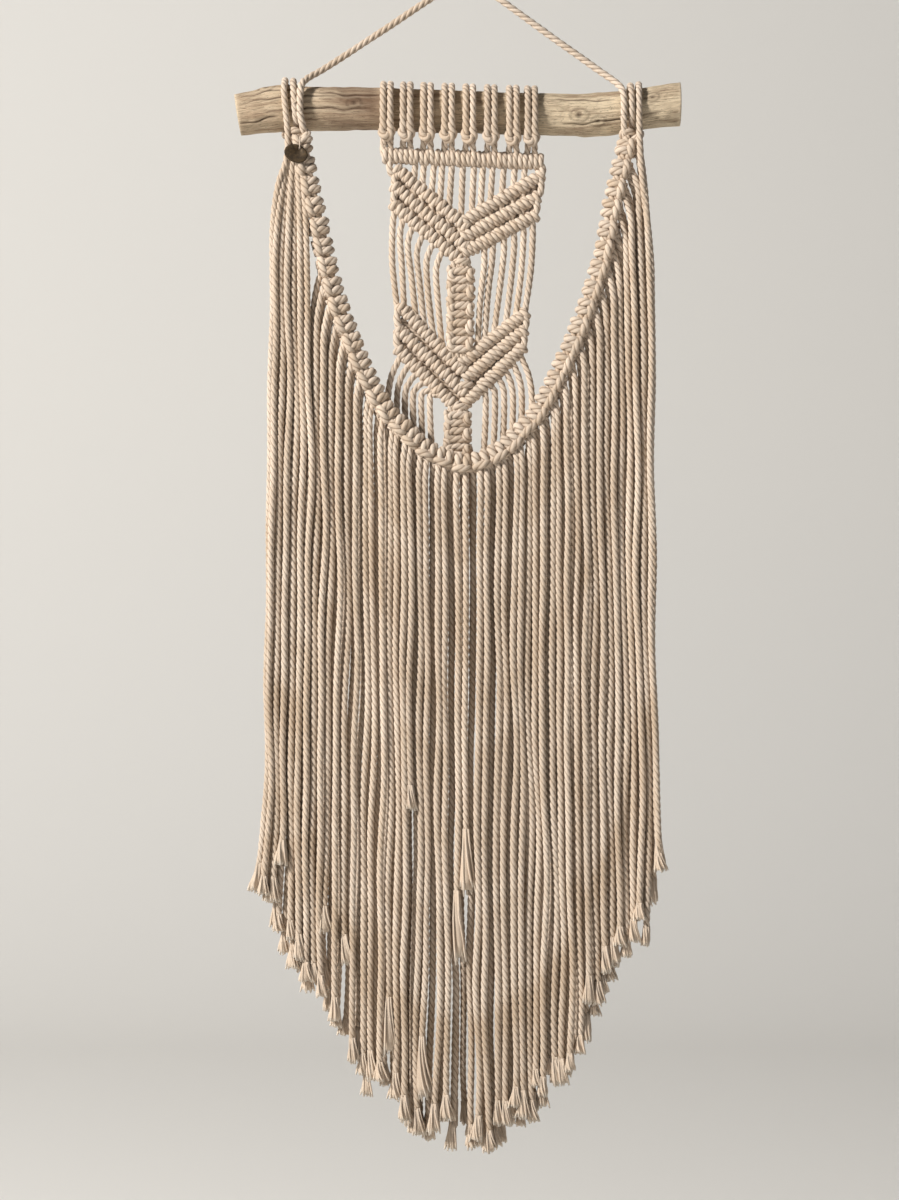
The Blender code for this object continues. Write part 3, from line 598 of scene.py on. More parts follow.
def branch(finish):
    start, end = ROD[0][0], ROD[-1][0]
    x = np.linspace(start, end, ROD_RINGS)[:, None]
    angle = (2 * math.pi * np.arange(ROD_ROUND) / ROD_ROUND)[None, :]
    z_axis, radius = smooth_value(ROD, x, 1), smooth_value(ROD, x, 2)
    wave = np.sin(ROD_WAVES[0] * x + 2 * angle) * np.cos(ROD_WAVES[1] * x - 3 * angle)
    reach = radius * (1 - ROD_DENT * (0.5 + 0.5 * wave))
    seeds = random_source.uniform(0, 6.3, 6)
    for size, lengths, turns in RIPPLES:
        for seed, length, turn in zip(seeds, lengths, turns):
            reach = reach + size / len(seeds) * np.sin(2 * math.pi * x / length + turn * angle + seed)
        seeds = seeds[::-1]
    dark, pale = np.zeros(reach.shape), np.zeros(reach.shape)
    for x_from, x_to, degrees, drift, depth in CRACKS:
        share = np.clip((x - x_from) / (x_to - x_from), 0, 1)
        line = math.radians(degrees) + math.radians(drift) * share
        for size, length in CRACK_WANDER:
            line = line + size * np.sin(x / length + degrees)
        away = np.abs(turned(angle - line)) * radius
        strength = np.sqrt(np.sin(math.pi * share))
        reach = reach - depth * bell(away, CRACK_WIDTH) * strength
        dark = np.maximum(dark, bell(away, CRACK_DARK) * strength)
        pale = np.maximum(pale, CRACK_EDGE_PALE * bell(away - CRACK_EDGE, CRACK_EDGE_WIDTH) * strength)
    for x_at, degrees, size, height in TWIG_SCARS:
        away = np.hypot((x - x_at) / SCAR_LONG, turned(angle - math.radians(degrees)) * radius)
        reach = reach + height * (bell(away, size) - 1.1 * bell(away, size * 0.35))
        dark = np.maximum(dark, 0.8 * bell(away, size * 0.4))
        dark = np.maximum(dark, 0.45 * bell(away - size * 1.05, 0.8))
    lean = ROD_END_SLANT * np.exp(-(x - start) / SLANT_FADE)
    back, up = reach * np.cos(angle), reach * np.sin(angle)
    yellow = np.broadcast_to(1 / (1 + np.exp(-(x - YELLOW_FROM) / YELLOW_OVER)), reach.shape)
    pale = np.maximum(pale, 0.8 * bell(np.minimum(x - start, end - x), 1.5))
    points = np.stack((x - lean * up, -back, z_axis + up), -1)
    paint = np.stack((dark, yellow, pale, np.ones(reach.shape)), -1)
    grain = np.stack((x + 0 * angle, back, up), -1)
    rings = [*reversed(cut_rings(points[0], -1)), *zip(points, paint, grain), *cut_rings(points[-1], 1)]
    points, paint, grain = (np.vstack(part) for part in zip(*rings))
    quads = wall(len(rings), ROD_ROUND)[:, (0, 3, 2, 1)]
    last = (len(rings) - 1) * ROD_ROUND
    ends = [list(range(ROD_ROUND)), list(range(last + ROD_ROUND - 1, last - 1, -1))]
    made = add_mesh("branch", points, quads.tolist() + ends, finish, bark=paint, grain=grain)
    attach(made, "root")
    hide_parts("rod")


# ---- the hanger
ROPE_FOOT_LEFT = ((-122.2, -12.0, -125.0), (-121.6, -17.0, -121.0), (-122.9, -19.8, -114.5))
ROPE_FOOT_RIGHT = ((120.0, -12.0, -126.0), (119.0, -16.8, -122.5), (118.4, -19.2, -116.5))
ROPE_STEP, ROPE_PHASE = 1.8, 1.0


def hanger(finish):
    """One rope from tie to tie, over the nail, and its two feet down the branch's front into the ties."""
    apex = (0.0, 0.0, -ROPE_DIAMETER / 2)
    through = [*ROPE_LEFT, apex, *reversed(ROPE_RIGHT)]
    whole = even(smooth([*ROPE_FOOT_LEFT, *through, *reversed(ROPE_FOOT_RIGHT)], 40), ROPE_STEP)
    first = int(np.argmin(np.linalg.norm(whole - through[0], axis=1)))
    last = int(np.argmin(np.linalg.norm(whole - through[-1], axis=1)))
    pieces = []
    for name, keep in (
        ("hanger_rope", slice(first, last + 1)),
        ("rope_foot_left", slice(0, first + 1)),
        ("rope_foot_right", slice(last, None)),
    ):
        yarn = Yarn()
        yarn.laid(whole, ROPE_DIAMETER / 2, ROPE_STEP, tone=0.7, keep=keep, phase=ROPE_PHASE)
        pieces.append(yarn.build(name, finish))
    rope, *feet = pieces
    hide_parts("hanger_cord")
    for foot in feet:
        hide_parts("swag")


# ---- the swag and its fringe
KNOT_PATH = (  # along the swag, outward, to the front
    (-3, 9, 0.6), (-3, 6, 0.4), (-3.1, 1.6, 3.6), (-3.2, -3.9, 1.8),
    (-3.3, -2.4, -3.4), (-4.8, 2.2, -3.2), (-6.2, 4.2, 0.6), (-4.8, 4.2, 3.7), (0, 4.6, 5),
)
SWAG_KNOT_RADIUS, KNOT_JITTER = 3.4, 0.28
SWAG_STEPS = 740
FRONT_SHARE, BACK_SHARE = 0.335, 0.665  # where in a knot's share of the swag its two cords leave it
ROOT_OUT, GAP_ROOT_OUT = 5.7, 5.0  # how far out from the swag's line a cord's bow starts
CARRIER_RADIUS, CARRIER_STEP = 3.6, 2.0
HEM_WIDENING = 1.05
EDGE_SPREAD, EDGE_FADE = (3.4, 3.6), 16.0  # the outer fringe cords spread to meet the loose ones
FRONT_ROOM, FRONT_PITCH = 3.6, 5.3  # a cord hangs in front if it has the room
BEHIND_SHIFT, GAP_STAGGER = 0.3, 1.2  # how far a cord behind a gap hangs from the gap's middle
BARE_GAP = 6.4  # a gap wider than this has two cords behind it
PAIR_HALF = 2.65  # half the distance between the two cords of a knot, where knots are far apart
FALL_SHARES = ((0.04, 0.1), (0.12, 0.5), (0.3, 1.0), (0.65, 1.0), (0.95, 1.0), (1.0, 1.0))  # fall, shift
TIE_REACH = (-116.5, 132.5)  # beyond these the fringe cords come straight out of the ties
TIE_FAN = {-1: (129.0, 131.0, 0.27), 1: (127.0, 129.0, 0.44)}  # x at the tie, x where that cord hangs, share
TIE_ROOT = ((124.8, -14.0, -126.0), (126.5, -15.5, -133.0))
TIE_FOOT_Z, TIE_FADE = -141.0, 43.0
TIE_STEPS = ((0, 0.45), (14, 0.65), (30, 0.9), (52, 1.0), (84, 1.0), (130, 1.0))  # drop, share forward
WAVER_FROM, WAVER_OVER = 40.0, 120.0  # how far below its knot a cord starts to stray, and in what length
DRIFT_SIZES = ((0.9, 95.0, 310.0), (0.7, 48.0, 190.0), (0.4, 27.0, 120.0))  # sway shared by neighbours
STRAYS = ((0, 0.3, 260.0), (0, 0.15, 120.0), (1, 0.4, 260.0), (1, 0.2, 120.0))  # axis, size, length
TIP_STRAY, TIP_STRAY_OVER = ((0, 1.6), (1, 0.8)), 50.0
CLOSED_GAPS = ((-40.5, -665.0), (-2.0, -712.0))  # x, z below which the cords beside a short one close up
GAP_CLOSES, GAP_REACH, GAP_OVER = 0.4, 11.0, 50.0
FRAY_LENGTHS, FRAY_WIDTHS, LOOSE_FRAY_WIDTH = (10.0, 20.0), (2.3, 3.2), 2.2
FRAY_OVERLAP = 3.0
SPECIAL_ENDS = (  # x, z of the end, fray length, fray width; front cords
    (-141.8, -669.8, 16, 3), (-105.8, -721.5, 18, 3.2), (-92.3, -744.8, 20, 3),
    (-40.5, -629.3, 16, 2.6), (-0.8, -692, 46, 3.8), (-9, -742, 50, 3.8),
    (-28.5, -845, 44, 4), (-58.5, -811.5, 40, 4), (140, -731, 12, 1.7),
)


def swag_line():
    """Points, forward directions and outward directions along the swag, evenly."""
    path = smooth([(x, SWAG_Y, z) for x, z in SWAG], 20)
    length = reach_along(path)[-1]
    line = even(path, length / SWAG_STEPS)
    share = np.linspace(0, 1, len(line))
    forward = np.minimum(np.minimum(share, 1 - share) * length / SWAG_FORWARD_OVER, 1.0)
    line[:, 1] = SWAG_START_Y + (SWAG_Y - SWAG_START_Y) * forward
    ahead = np.gradient(line, axis=0)
    ahead /= np.linalg.norm(ahead, axis=1)[:, None]
    outward = np.stack((ahead[:, 2], np.zeros(len(line)), -ahead[:, 0]), 1)
    outward /= np.linalg.norm(outward, axis=1)[:, None]
    return line, ahead, outward


def fall_root(outward, share):
    """How far a fringe cord bows out of its knot, and how deep the bow is."""
    from_end = min(share, 1 - share)
    near_end = max(0.0, 1 - from_end / BOW_SHARE)
    bow = FRINGE_BOW[0] if share < 0.5 else FRINGE_BOW[1]
    out = outward[0] * (FRINGE_LEAST + (bow - FRINGE_LEAST) * near_end**BOW_POWER)
    per_bow = STEEP_PER_BOW + (DROP_PER_BOW - STEEP_PER_BOW) * min(from_end / STEEP_SHARE, 1.0)
    return out, DROP_LEAST + per_bow * max(abs(out), FRINGE_LEAST)


def falling(shares, x, shift, fan_x, y, top_z, end_z):
    """Points down a fall. shares holds shares of the fall, and of the shift aside that is made by then."""
    return [
        (x + shift * moved + FRINGE_FAN * (fan_x / FAN_REACH) * fall**2, y, top_z + (end_z - top_z) * fall)
        for fall, moved in shares
    ]


def fall_path(root, outward, plane, share, shift, end_z):
    """Where a fringe cord hangs: from the knot out, over, and down to its end."""
    out, drop = fall_root(outward, share)
    x, y, z = root
    bow = [(x + out * aside, y + (plane - y) * aside, z - drop * down) for aside, down in BOW_STEPS]
    return [*bow, *falling(FALL_SHARES, x + out, shift, x + out, plane, z - drop, end_z)]


DRIFTS = [(*sizes, random_source.uniform(0, 2 * math.pi)) for sizes in DRIFT_SIZES]


def waver(path):
    """Lets a hanging cord stray a little from straight, the more the further it is from its knot."""
    reach = reach_along(path)
    grow = np.clip((reach - WAVER_FROM) / WAVER_OVER, 0, 1)
    moved = path.copy()
    for size, across, down, phase in DRIFTS:
        moved[:, 0] += size * grow * np.sin(2 * math.pi * (path[:, 0] / across + path[:, 2] / down) + phase)
    for axis, size, length in STRAYS:
        phase = random_source.uniform(0, 2 * math.pi)
        moved[:, axis] += size * grow * np.sin(2 * math.pi * reach / length + phase)
    for x_gap, z_gap in CLOSED_GAPS:
        away = moved[:, 0] - x_gap
        below = np.clip((z_gap - path[:, 2]) / GAP_OVER, 0, 1)
        moved[:, 0] -= GAP_CLOSES * away * bell(away, GAP_REACH) * below
    last = np.clip(1 - (reach[-1] - reach) / TIP_STRAY_OVER, 0, 1) ** 2
    for axis, size in TIP_STRAY:
        moved[:, axis] += random_source.normal(0, size) * last
    return moved


def add_fallen(yarn, path, fray_length, wide, tone):
    """Puts a fringe cord and its frayed end into the yarn."""
    path = waver(even(path, FALL_STEP))
    reach = reach_along(path)
    yarn.laid(path[reach < reach[-1] - fray_length], tone=tone)
    yarn.frayed(path, fray_length + FRAY_OVERLAP, tone, wide)


def hem_z(x_hang):
    return table_value(HEM, x_hang * HEM_WIDENING) + END_UNEVEN * random_source.uniform(0.0, 1.0) ** 2


def spaced(values, window=9):
    """The values, with the steps between neighbours evened out."""
    values = np.asarray(values, float)
    half = window // 2
    before = 2 * values[0] - values[half:0:-1]
    after = 2 * values[-1] - values[-2 : -half - 2 : -1]
    padded = np.concatenate((before, values, after))
    return np.convolve(padded, np.ones(window) / window, "valid")


def layered(goal):
    """Moves the cords so that as many as have room hang in front. Returns the places and the front ones."""
    places, fronts = np.array(goal), [0]
    for j in range(1, len(goal)):
        if goal[j] - places[fronts[-1]] < FRONT_ROOM:
            continue
        places[j] = max(goal[j], places[fronts[-1]] + FRONT_PITCH)
        fronts.append(j)
    for j in range(0, len(goal) - 1, 2):
        apart = places[j + 1] - places[j]
        if j in fronts and j + 1 in fronts and apart > 2 * PAIR_HALF:
            middle = (places[j] + places[j + 1]) / 2
            places[j], places[j + 1] = middle - PAIR_HALF, middle + PAIR_HALF
    for before, after in zip(fronts[:-1], fronts[1:]):
        for k, j in enumerate(range(before + 1, after)):
            share = (k + 1) / (after - before)
            places[j] = places[before] + (places[after] - places[before]) * share
    return places, fronts


def gaps_behind(places, fronts):
    """Where the panel's cords hang: behind the middles between the front cords that are nearest to it."""
    middles = (places[fronts[:-1]] + places[fronts[1:]]) / 2
    centre = (LONG_CORDS[0][2] + LONG_CORDS[-1][2]) / 2
    nearest = sorted(middles, key=lambda x: abs(x - centre))[: len(LONG_CORDS)]
    return [x + BEHIND_SHIFT for x in sorted(nearest)]


def tie_path(x_hang, plane, end_z):
    """Where a fringe cord hangs that comes straight out of the tie."""
    side = -1 if x_hang < 0 else 1
    at_tie, at_hang, share = TIE_FAN[side]
    x_tie = side * (at_tie + share * (abs(x_hang) - at_hang))
    points = [(side * x, y, z) for x, y, z in TIE_ROOT]
    start_y = TIE_ROOT[0][1]
    for drop, forward in TIE_STEPS:
        x = x_hang + (x_tie - x_hang) * math.exp(-drop / TIE_FADE)
        points.append((x, start_y + (plane - start_y) * forward, TIE_FOOT_Z - drop))
    return [*points, *falling(FALL_SHARES[2:], x_hang, 0.0, x_hang, plane, points[-1][2], end_z)]


def swag_share(knots):
    """How far along the swag a number of knots reaches, as a share of it."""
    half = knots / SWAG_KNOTS - 0.5
    return 0.5 + half - KNOTS_CLOSER * math.sin(2 * math.pi * half) / (2 * math.pi)


Root = namedtuple("Root", "knot share place outward tone inner hang_x")  # where a fringe cord leaves its knot


def swag_knots(line, ahead, outward):
    """The knots of the swag on the cord that carries them, and the roots of the fringe."""
    knots, roots = Yarn(), []
    shape = np.array((*KNOT_PATH, *((-t, n, f) for t, n, f in reversed(KNOT_PATH[:-1]))))
    for i in range(SWAG_KNOTS):
        at = round(swag_share(i + 0.5) * SWAG_STEPS)
        jitter = random_source.normal(0, KNOT_JITTER, shape.shape)
        jitter[[0, -1]] = 0
        path = line[at] + (shape + jitter) @ np.array((ahead[at], outward[at], FRONT))
        tone = random_source.uniform(0, 1)
        knots.laid(smooth(path, 12), SWAG_KNOT_RADIUS, KNOT_STEP, tone=tone, groove=KNOT_GROOVE)
        for which, inner in ((FRONT_SHARE, path[1]), (BACK_SHARE, path[-2])):
            share = swag_share(i + which)
            here = round(share * SWAG_STEPS)
            place = line[here] + outward[here] * ROOT_OUT
            hang_x = place[0] + fall_root(outward[here], share)[0]
            roots.append(Root(i, share, place, outward[here], tone, inner, hang_x))
    knots.laid(even(line, CARRIER_STEP), CARRIER_RADIUS, CARRIER_STEP)
    return knots, roots


def hanging_places(roots):
    """The x at which each fringe cord hangs, and which of them hang in front."""
    goal = spaced([root.hang_x for root in roots])
    goal -= EDGE_SPREAD[0] * np.exp(-(goal - goal[0]) / EDGE_FADE)
    goal += EDGE_SPREAD[1] * np.exp(-(goal[-1] - goal) / EDGE_FADE)
    return layered(goal)


def fringe_and_swag(finish):
    """Makes the knots of the swag and its fringe. Returns where the gaps between the fringe cords are."""
    line, ahead, outward = swag_line()
    knots, roots = swag_knots(line, ahead, outward)
    pieces = [knots.build("swag_knots", finish)]
    goal, fronts = hanging_places(roots)
    special = {}
    for end in SPECIAL_ENDS:
        free = [j for j in fronts if j not in special]
        special[min(free, key=lambda j: abs(goal[j] - end[0] / HEM_WIDENING))] = end[1:]
    yarns = {(part, side): Yarn() for part in ("front", "back") for side in ("left", "right")}
    for j, root in enumerate(roots):
        drawn = hem_z(root.hang_x), random_source.uniform(*FRAY_LENGTHS), random_source.uniform(*FRAY_WIDTHS)
        end_z, fray, wide = special.get(j, drawn)
        part, plane = ("front", FRINGE_FRONT_Y) if j in fronts else ("back", FRINGE_BACK_Y)
        plane += LAYER_STAGGER * (1 if root.knot % 2 else -1)
        if TIE_REACH[0] < goal[j] < TIE_REACH[1]:
            shift = goal[j] - root.hang_x
            fall = fall_path(root.place, root.outward, plane, root.share, shift, end_z)
            points = [tuple(root.inner), *fall]
        else:
            points = tie_path(goal[j], plane, end_z)
        side = "left" if root.knot < SWAG_KNOTS / 2 else "right"
        add_fallen(yarns[part, side], smooth(points, 14), fray, wide, root.tone)
    behind = gaps_behind(goal, fronts)
    for before, after in zip(fronts[:-1], fronts[1:]):
        middle = (goal[before] + goal[after]) / 2
        backed = min(abs(x - middle) for x in behind) < 2 * BEHIND_SHIFT
        if after - before > 1 or (backed and goal[after] - goal[before] < BARE_GAP):
            continue
        x = middle - BEHIND_SHIFT
        share = (roots[before].share + roots[after].share) / 2
        here = round(share * SWAG_STEPS)
        place = line[here] + outward[here] * GAP_ROOT_OUT
        shift = x - place[0] - fall_root(outward[here], share)[0]
        points = [tuple(line[here]), *fall_path(place, outward[here], FRINGE_BACK_Y, share, shift, hem_z(x))]
        fray, wide = random_source.uniform(*FRAY_LENGTHS), random_source.uniform(*FRAY_WIDTHS)
        add_fallen(yarns["back", "left" if x < 0 else "right"], smooth(points, 14), fray, wide, 0.5)
    for side, loose in (("left", LEFT_END), ("right", RIGHT_END)):
        path = smooth([*around_rod(loose[0][0], steps=14)[3:-1], *loose[1:]])
        add_fallen(yarns["front", side], path, random_source.uniform(*FRAY_LENGTHS), LOOSE_FRAY_WIDTH, 0.5)
    pieces += [yarn.build(f"fringe_{part}_{side}", finish) for (part, side), yarn in yarns.items()]
    for piece in pieces:
        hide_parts("swag")
    return behind


def around_rod(x, steps=28, drift=0.0):
    """A turn round the branch that starts at the front and goes under it. drift leans it."""
    z, reach = rod_section(x)
    reach += TURN_CLEARANCE + CORD_RADIUS
    angle = -2 * math.pi * np.arange(steps + 1) / steps
    return np.stack((x + drift * np.sin(angle), -reach * np.cos(angle), z + reach * np.sin(angle)), 1)


def trefoil(x, y, z):
    """A small overhand knot drawn tight."""
    t = np.linspace(0, 2 * math.pi, 90)
    across, deep, up = TIE_KNOT_SIZE
    return np.stack(
        (
            x + across * (np.sin(t) + 2 * np.sin(2 * t)),
            y - deep * np.sin(3 * t),
            z + up * (np.cos(t) - 2 * np.cos(2 * t)),
        ),
        1,
    )


def ties(finish):
    """The turns of cord that hold the swag and the hanger on the branch."""
    yarn = Yarn()
    for x, drift in TIE_TURNS:
        yarn.laid(around_rod(x, drift=drift), step=TIE_STEP, closed=True, tone=0.55)
    for place in TIE_KNOTS:
        yarn.laid(trefoil(*place), TIE_KNOT_RADIUS, KNOT_STEP, closed=True, tone=0.5, groove=KNOT_GROOVE)
    made = yarn.build("ties", finish)
    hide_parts("swag")


# ---- the panel
TURN_POINTS, TURN_STEP = 16, 1.3
TURN_WANDER, TURN_SWELL, LEAN_JITTER, LEAN_BY_TURNS = 0.14, 0.03, 0.05, 0.04
EDGE_LOOP = (  # from the panel's edge inward, up as a share of half the height, to the front
    (7, 0.9, -1), (2.6, 0.8, 1.2), (0.6, 0.35, 2), (0.6, -0.35, 2), (2.6, -0.8, 1.2), (7, -0.9, -1),
)
EDGE_RADIUS, EDGE_STEP = 2.8, 1.5
HEAD_DEGREES = (-112, -150, -190, -230, -270, -310, -345)  # round the branch, from below at the front
HEAD_FOOT = ((-0.2, -9.2, -6.5), (0.2, -11.0, -1.0))  # across, y, up from the knot: where a strand enters it
HEAD_CLEARANCE, HEAD_STEP, HEAD_BULGE = 0.4, 1.7, (0.5, 0.045, 0.46)
SINNET_RADIUS, SINNET_STEP, SINNET_JITTER = 3.2, 1.4, 0.1
CORE_RADIUS, CORE_ASIDE, CORE_BACK, CORE_SHORT = 2.4, (-5.4, -1.9, 1.9, 5.4), 1.9, 4
FILLER_Y = PANEL_Y + 3.0  # the cords that fill between two rows lie at the back
TIP_RING = (4.6, 4.0, 2.7)  # half its width and depth, radius of the cord


def turns_along(yarn, start, end, count, reach, radius, lean):
    """Closed turns of cord round a line, as a row of half hitches shows them."""
    start, end = np.array((start[0], PANEL_Y, start[1])), np.array((end[0], PANEL_Y, end[1]))
    length = np.linalg.norm(end - start)
    ahead = (end - start) / length
    across = np.cross(ahead, FRONT)
    angle = 2 * math.pi * np.arange(TURN_POINTS + 1) / TURN_POINTS
    for i in range(count):
        middle = start + ahead * length * (i + 0.5) / count + random_source.normal(0, TURN_WANDER, 3)
        lean_here = lean + random_source.normal(0, LEAN_JITTER) + LEAN_BY_TURNS * (1 if i % 2 else -1)
        swell = 1 + random_source.normal(0, TURN_SWELL)
        aside = (np.cos(angle) * reach[0])[:, None]
        forward = (np.sin(angle) * reach[1])[:, None]
        path = middle + swell * (across * aside + FRONT * forward) + ahead * aside * math.tan(lean_here)
        thick = radius * random_source.uniform(0.95, 1.05)
        yarn.laid(smooth(path, 3), thick, TURN_STEP, closed=True, groove=TIGHT_GROOVE)
    yarn.straight(start + ahead, end - ahead, reach[0] - 0.2)


def edge_loop(yarn, x, z_top, z_foot, side):
    """The short loop in which a cord leaves one row at the panel's edge and enters the next."""
    middle, half = (z_top + z_foot) / 2, (z_top - z_foot) / 2
    path = [(x - side * inward, PANEL_Y - front, middle + half * up) for inward, up, front in EDGE_LOOP]
    yarn.laid(smooth(path, 8), EDGE_RADIUS, EDGE_STEP, groove=KNOT_GROOVE)


def bar_z(x):
    return table_value((BAR_START, BAR_END), x)


def head(yarn, x, z):
    """A lark's head: a folded cord hitched over the branch."""
    rod_z, radius = rod_section(x)
    reach = radius + HEAD_CLEARANCE + CORD_RADIUS
    half = HEAD_PAIR / 2
    left = [(-half - 0.5, PANEL_Y, bar_z(x) + 2.0), *((a - half, y, z + up) for a, y, up in HEAD_FOOT)]
    for angle in np.radians(HEAD_DEGREES):
        left.append((-half - 0.1, -reach * math.cos(angle), rod_z + reach * math.sin(angle)))
    left += [
        (-half - 0.1, -reach * 0.985, rod_z - 5.5),
        (-half + 0.1, -reach * 0.93, z + 6.8),
        (-half - 0.9, -reach * 0.90, z + 2.6),
    ]
    right = [(-a, b, c) for a, b, c in reversed(left)]
    path = [(x + a, b, c) for a, b, c in (*left, (0.0, -reach * 0.90, z - 1.2), *right)]
    yarn.laid(smooth(path, 8), step=HEAD_STEP, bulge=HEAD_BULGE)


SINNET_BAR_HALF = (  # across, to the front, up as a share of a knot's height
    (6.6, -0.6, 0.43), (4.6, 2.6, 0.28), (0, 3.5, 0.25), (-4.2, 3.4, 0.24), (-6.7, 3.9, 0.16),
)
SINNET_BAR = (*SINNET_BAR_HALF, (-7.1, 4.1, 0.0), *((a, f, -up) for a, f, up in reversed(SINNET_BAR_HALF)))
SINNET_BUMP = (
    (-7, 4, 0.47), (-7.8, 3.2, 0.36), (-7, -1.6, 0.27), (-2.5, -4, 0.20),
    (2.5, -4, 0.20), (7, -2.4, 0.24), (8.3, 1.6, 0.24), (7.2, 4.3, 0.15),
    (6.9, 4.8, 0), (7.2, 4.3, -0.15), (8.3, 1.6, -0.24), (7, -2.4, -0.26),
    (2.5, -4, -0.22), (-2.5, -4, -0.24), (-7, -1.6, -0.31), (-7.8, 3.2, -0.39),
)
UPPER_EDGES = (  # x, z at the top, z at the foot, side of the panel
    (-62.4, -123.5, -141.5, -1), (-58, -140, -153, -1), (-54.3, -150.5, -163.5, -1),
    (-54.8, -163.5, -176, -1), (58, -142.5, -156, 1), (57, -153, -169.5, 1), (53.8, -169, -183.5, 1),
)
LOWER_EDGES = (
    (-52.3, -250, -269.5, -1), (-52.6, -268.5, -284, -1), (45.6, -257, -270, 1), (44.3, -270, -284, 1),
)
TIP_KNOTS = ((-3.0, -217.5), (-0.2, -310.2), (-4.4, -326.5))  # x, z of small knots where a V's cords meet
PANEL_FALL_SHARES = ((0.04, 0.1), (0.09, 0.6), (0.16, 1.0), (0.45, 1.0), (0.75, 1.0), (1.0, 1.0))


def square_knots(top_x, top_z, foot_x, foot_z, count):
    """Paths of the two working cords of a sinnet."""
    start, end = np.array((top_x, PANEL_Y, top_z)), np.array((foot_x, PANEL_Y, foot_z))
    knot = (end - start) / count
    bars, bumps = [], []
    for i in range(count):
        middle = start + knot * (i + 0.5)
        for shape, goal in ((SINNET_BAR, bars), (SINNET_BUMP, bumps)):
            for a, f, up in shape:
                jitter = random_source.normal(0, SINNET_JITTER, 3)
                goal.append(middle + np.array((a, 0, 0)) + FRONT * f - knot * up + jitter)
    return bars, bumps


def ring_path(x, z):
    """A turn of cord round a line that hangs."""
    angle = 2 * math.pi * np.arange(25) / 24
    across, deep = TIP_RING[0] * np.cos(angle), TIP_RING[1] * np.sin(angle)
    return np.stack((x + across, PANEL_Y - deep, z + 0 * angle), 1)


def row_z(row, x):
    x_out, z_out, x_in, z_in = row
    return z_out + (z_in - z_out) * (x - x_out) / (x_in - x_out)


def hitch_rows(yarn):
    """The rows of half hitches, what fills between them, and the loops at the panel's edges."""
    turns_along(yarn, BAR_START, BAR_END, BAR_TURNS, *BAR_ROW)
    for row in (*UPPER_V, *LOWER_V):
        tip_x = row[2] + math.copysign(ROW_TIP, -row[0])
        edge_x = row[0] + math.copysign(ROW_EDGE, row[0])
        edge, tip = (edge_x, row_z(row, edge_x)), (tip_x, row_z(row, tip_x))
        turns_along(yarn, edge, tip, ROW_TURNS, *(LEFT_ROW if row[0] < 0 else RIGHT_ROW))
    for rows in (UPPER_V[:3], UPPER_V[3:], LOWER_V[:3], LOWER_V[3:]):
        for above, below in zip(rows[:-1], rows[1:]):
            x_out, z_out, x_in, z_in = ((a + b) / 2 for a, b in zip(above, below))
            yarn.straight((x_out, FILLER_Y, z_out), (x_in, FILLER_Y, z_in), CORE_RADIUS)
    for loop in (*UPPER_EDGES, *LOWER_EDGES):
        edge_loop(yarn, *loop)


def sinnets(yarn):
    for row in SINNETS:
        for path in square_knots(*row):
            yarn.laid(smooth(path, 6), SINNET_RADIUS, SINNET_STEP, groove=TIGHT_GROOVE)
        x0, z0, x1, z1, _ = row
        y = PANEL_Y - CORE_BACK
        for aside in CORE_ASIDE:
            yarn.straight((x0 + aside, y, z0 + CORE_SHORT), (x1 + aside, y, z1 - CORE_SHORT), CORE_RADIUS)


def panel_cords(yarn):
    """The cords between the rows: the short ones above the first V, and those beside the first sinnet."""
    for x in SHORT_CORDS:
        z_row = row_z(UPPER_V[2] if x < 0 else UPPER_V[5], x)
        middle = (x + random_source.normal(0, 0.4), PANEL_Y, (bar_z(x) + z_row) / 2)
        yarn.laid(smooth(((x + 1.8, PANEL_Y, bar_z(x)), middle, (x - 1.2, PANEL_Y, z_row)), 20))
    for x_top, z_top, z_foot, x_shoulder, x_middle, x_foot, proud in SIDE_CORDS:
        tall = z_top - z_foot
        through = (
            (x_top, PANEL_Y, z_top + 3.0),
            (x_shoulder * 0.6 + x_top * 0.4, PANEL_Y, z_top - 0.05 * tall),
            (x_shoulder, PANEL_Y - proud, z_top - 0.2 * tall),
            (x_middle, PANEL_Y - proud, z_top - 0.55 * tall),
            (x_foot, PANEL_Y, z_foot - 2.0),
        )
        yarn.laid(smooth(through, 20))


def panel_falls(yarn, gaps):
    """The cords that hang from the second V and the second sinnet, behind the fringe."""
    for (x_top, z_top, x_turn), x_fall in zip(LONG_CORDS, gaps):
        turn_z = CENTRE_TURN_Z if z_top < TURN_Z else TURN_Z
        end_z = hem_z(x_fall)
        bend_x = x_top + (x_turn - x_top) * BEND_SHARE
        y = PANEL_Y + (GAP_STAGGER if x_fall in gaps[::2] else -GAP_STAGGER)
        top = [(x_top, PANEL_Y, z_top), (bend_x, PANEL_Y, (z_top + turn_z) / 2), (x_turn, PANEL_Y, turn_z)]
        fall = falling(PANEL_FALL_SHARES, x_turn, x_fall - x_turn, x_fall, y, turn_z, end_z)
        tone = random_source.uniform(0, 1)
        fray = random_source.uniform(*FRAY_LENGTHS)
        add_fallen(yarn, smooth([*top, *fall], 14), fray, LOOSE_FRAY_WIDTH, tone)


def panel(finish, gaps):
    """The knotted panel. Its cords fall behind the fringe, in the given gaps."""
    knots, cords, falls = Yarn(), Yarn(), Yarn()
    for x, z in HEADS:
        head(knots, x, z)
    hitch_rows(knots)
    sinnets(knots)
    for x, z in TIP_KNOTS:
        knots.laid(ring_path(x, z), TIP_RING[2], TURN_STEP, closed=True, groove=KNOT_GROOVE)
    panel_cords(cords)
    panel_falls(falls, gaps)
    for name, yarn in (("panel_knots", knots), ("panel_cords", cords), ("panel_falls", falls)):
        piece = yarn.build(name, finish)
        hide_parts("panel")


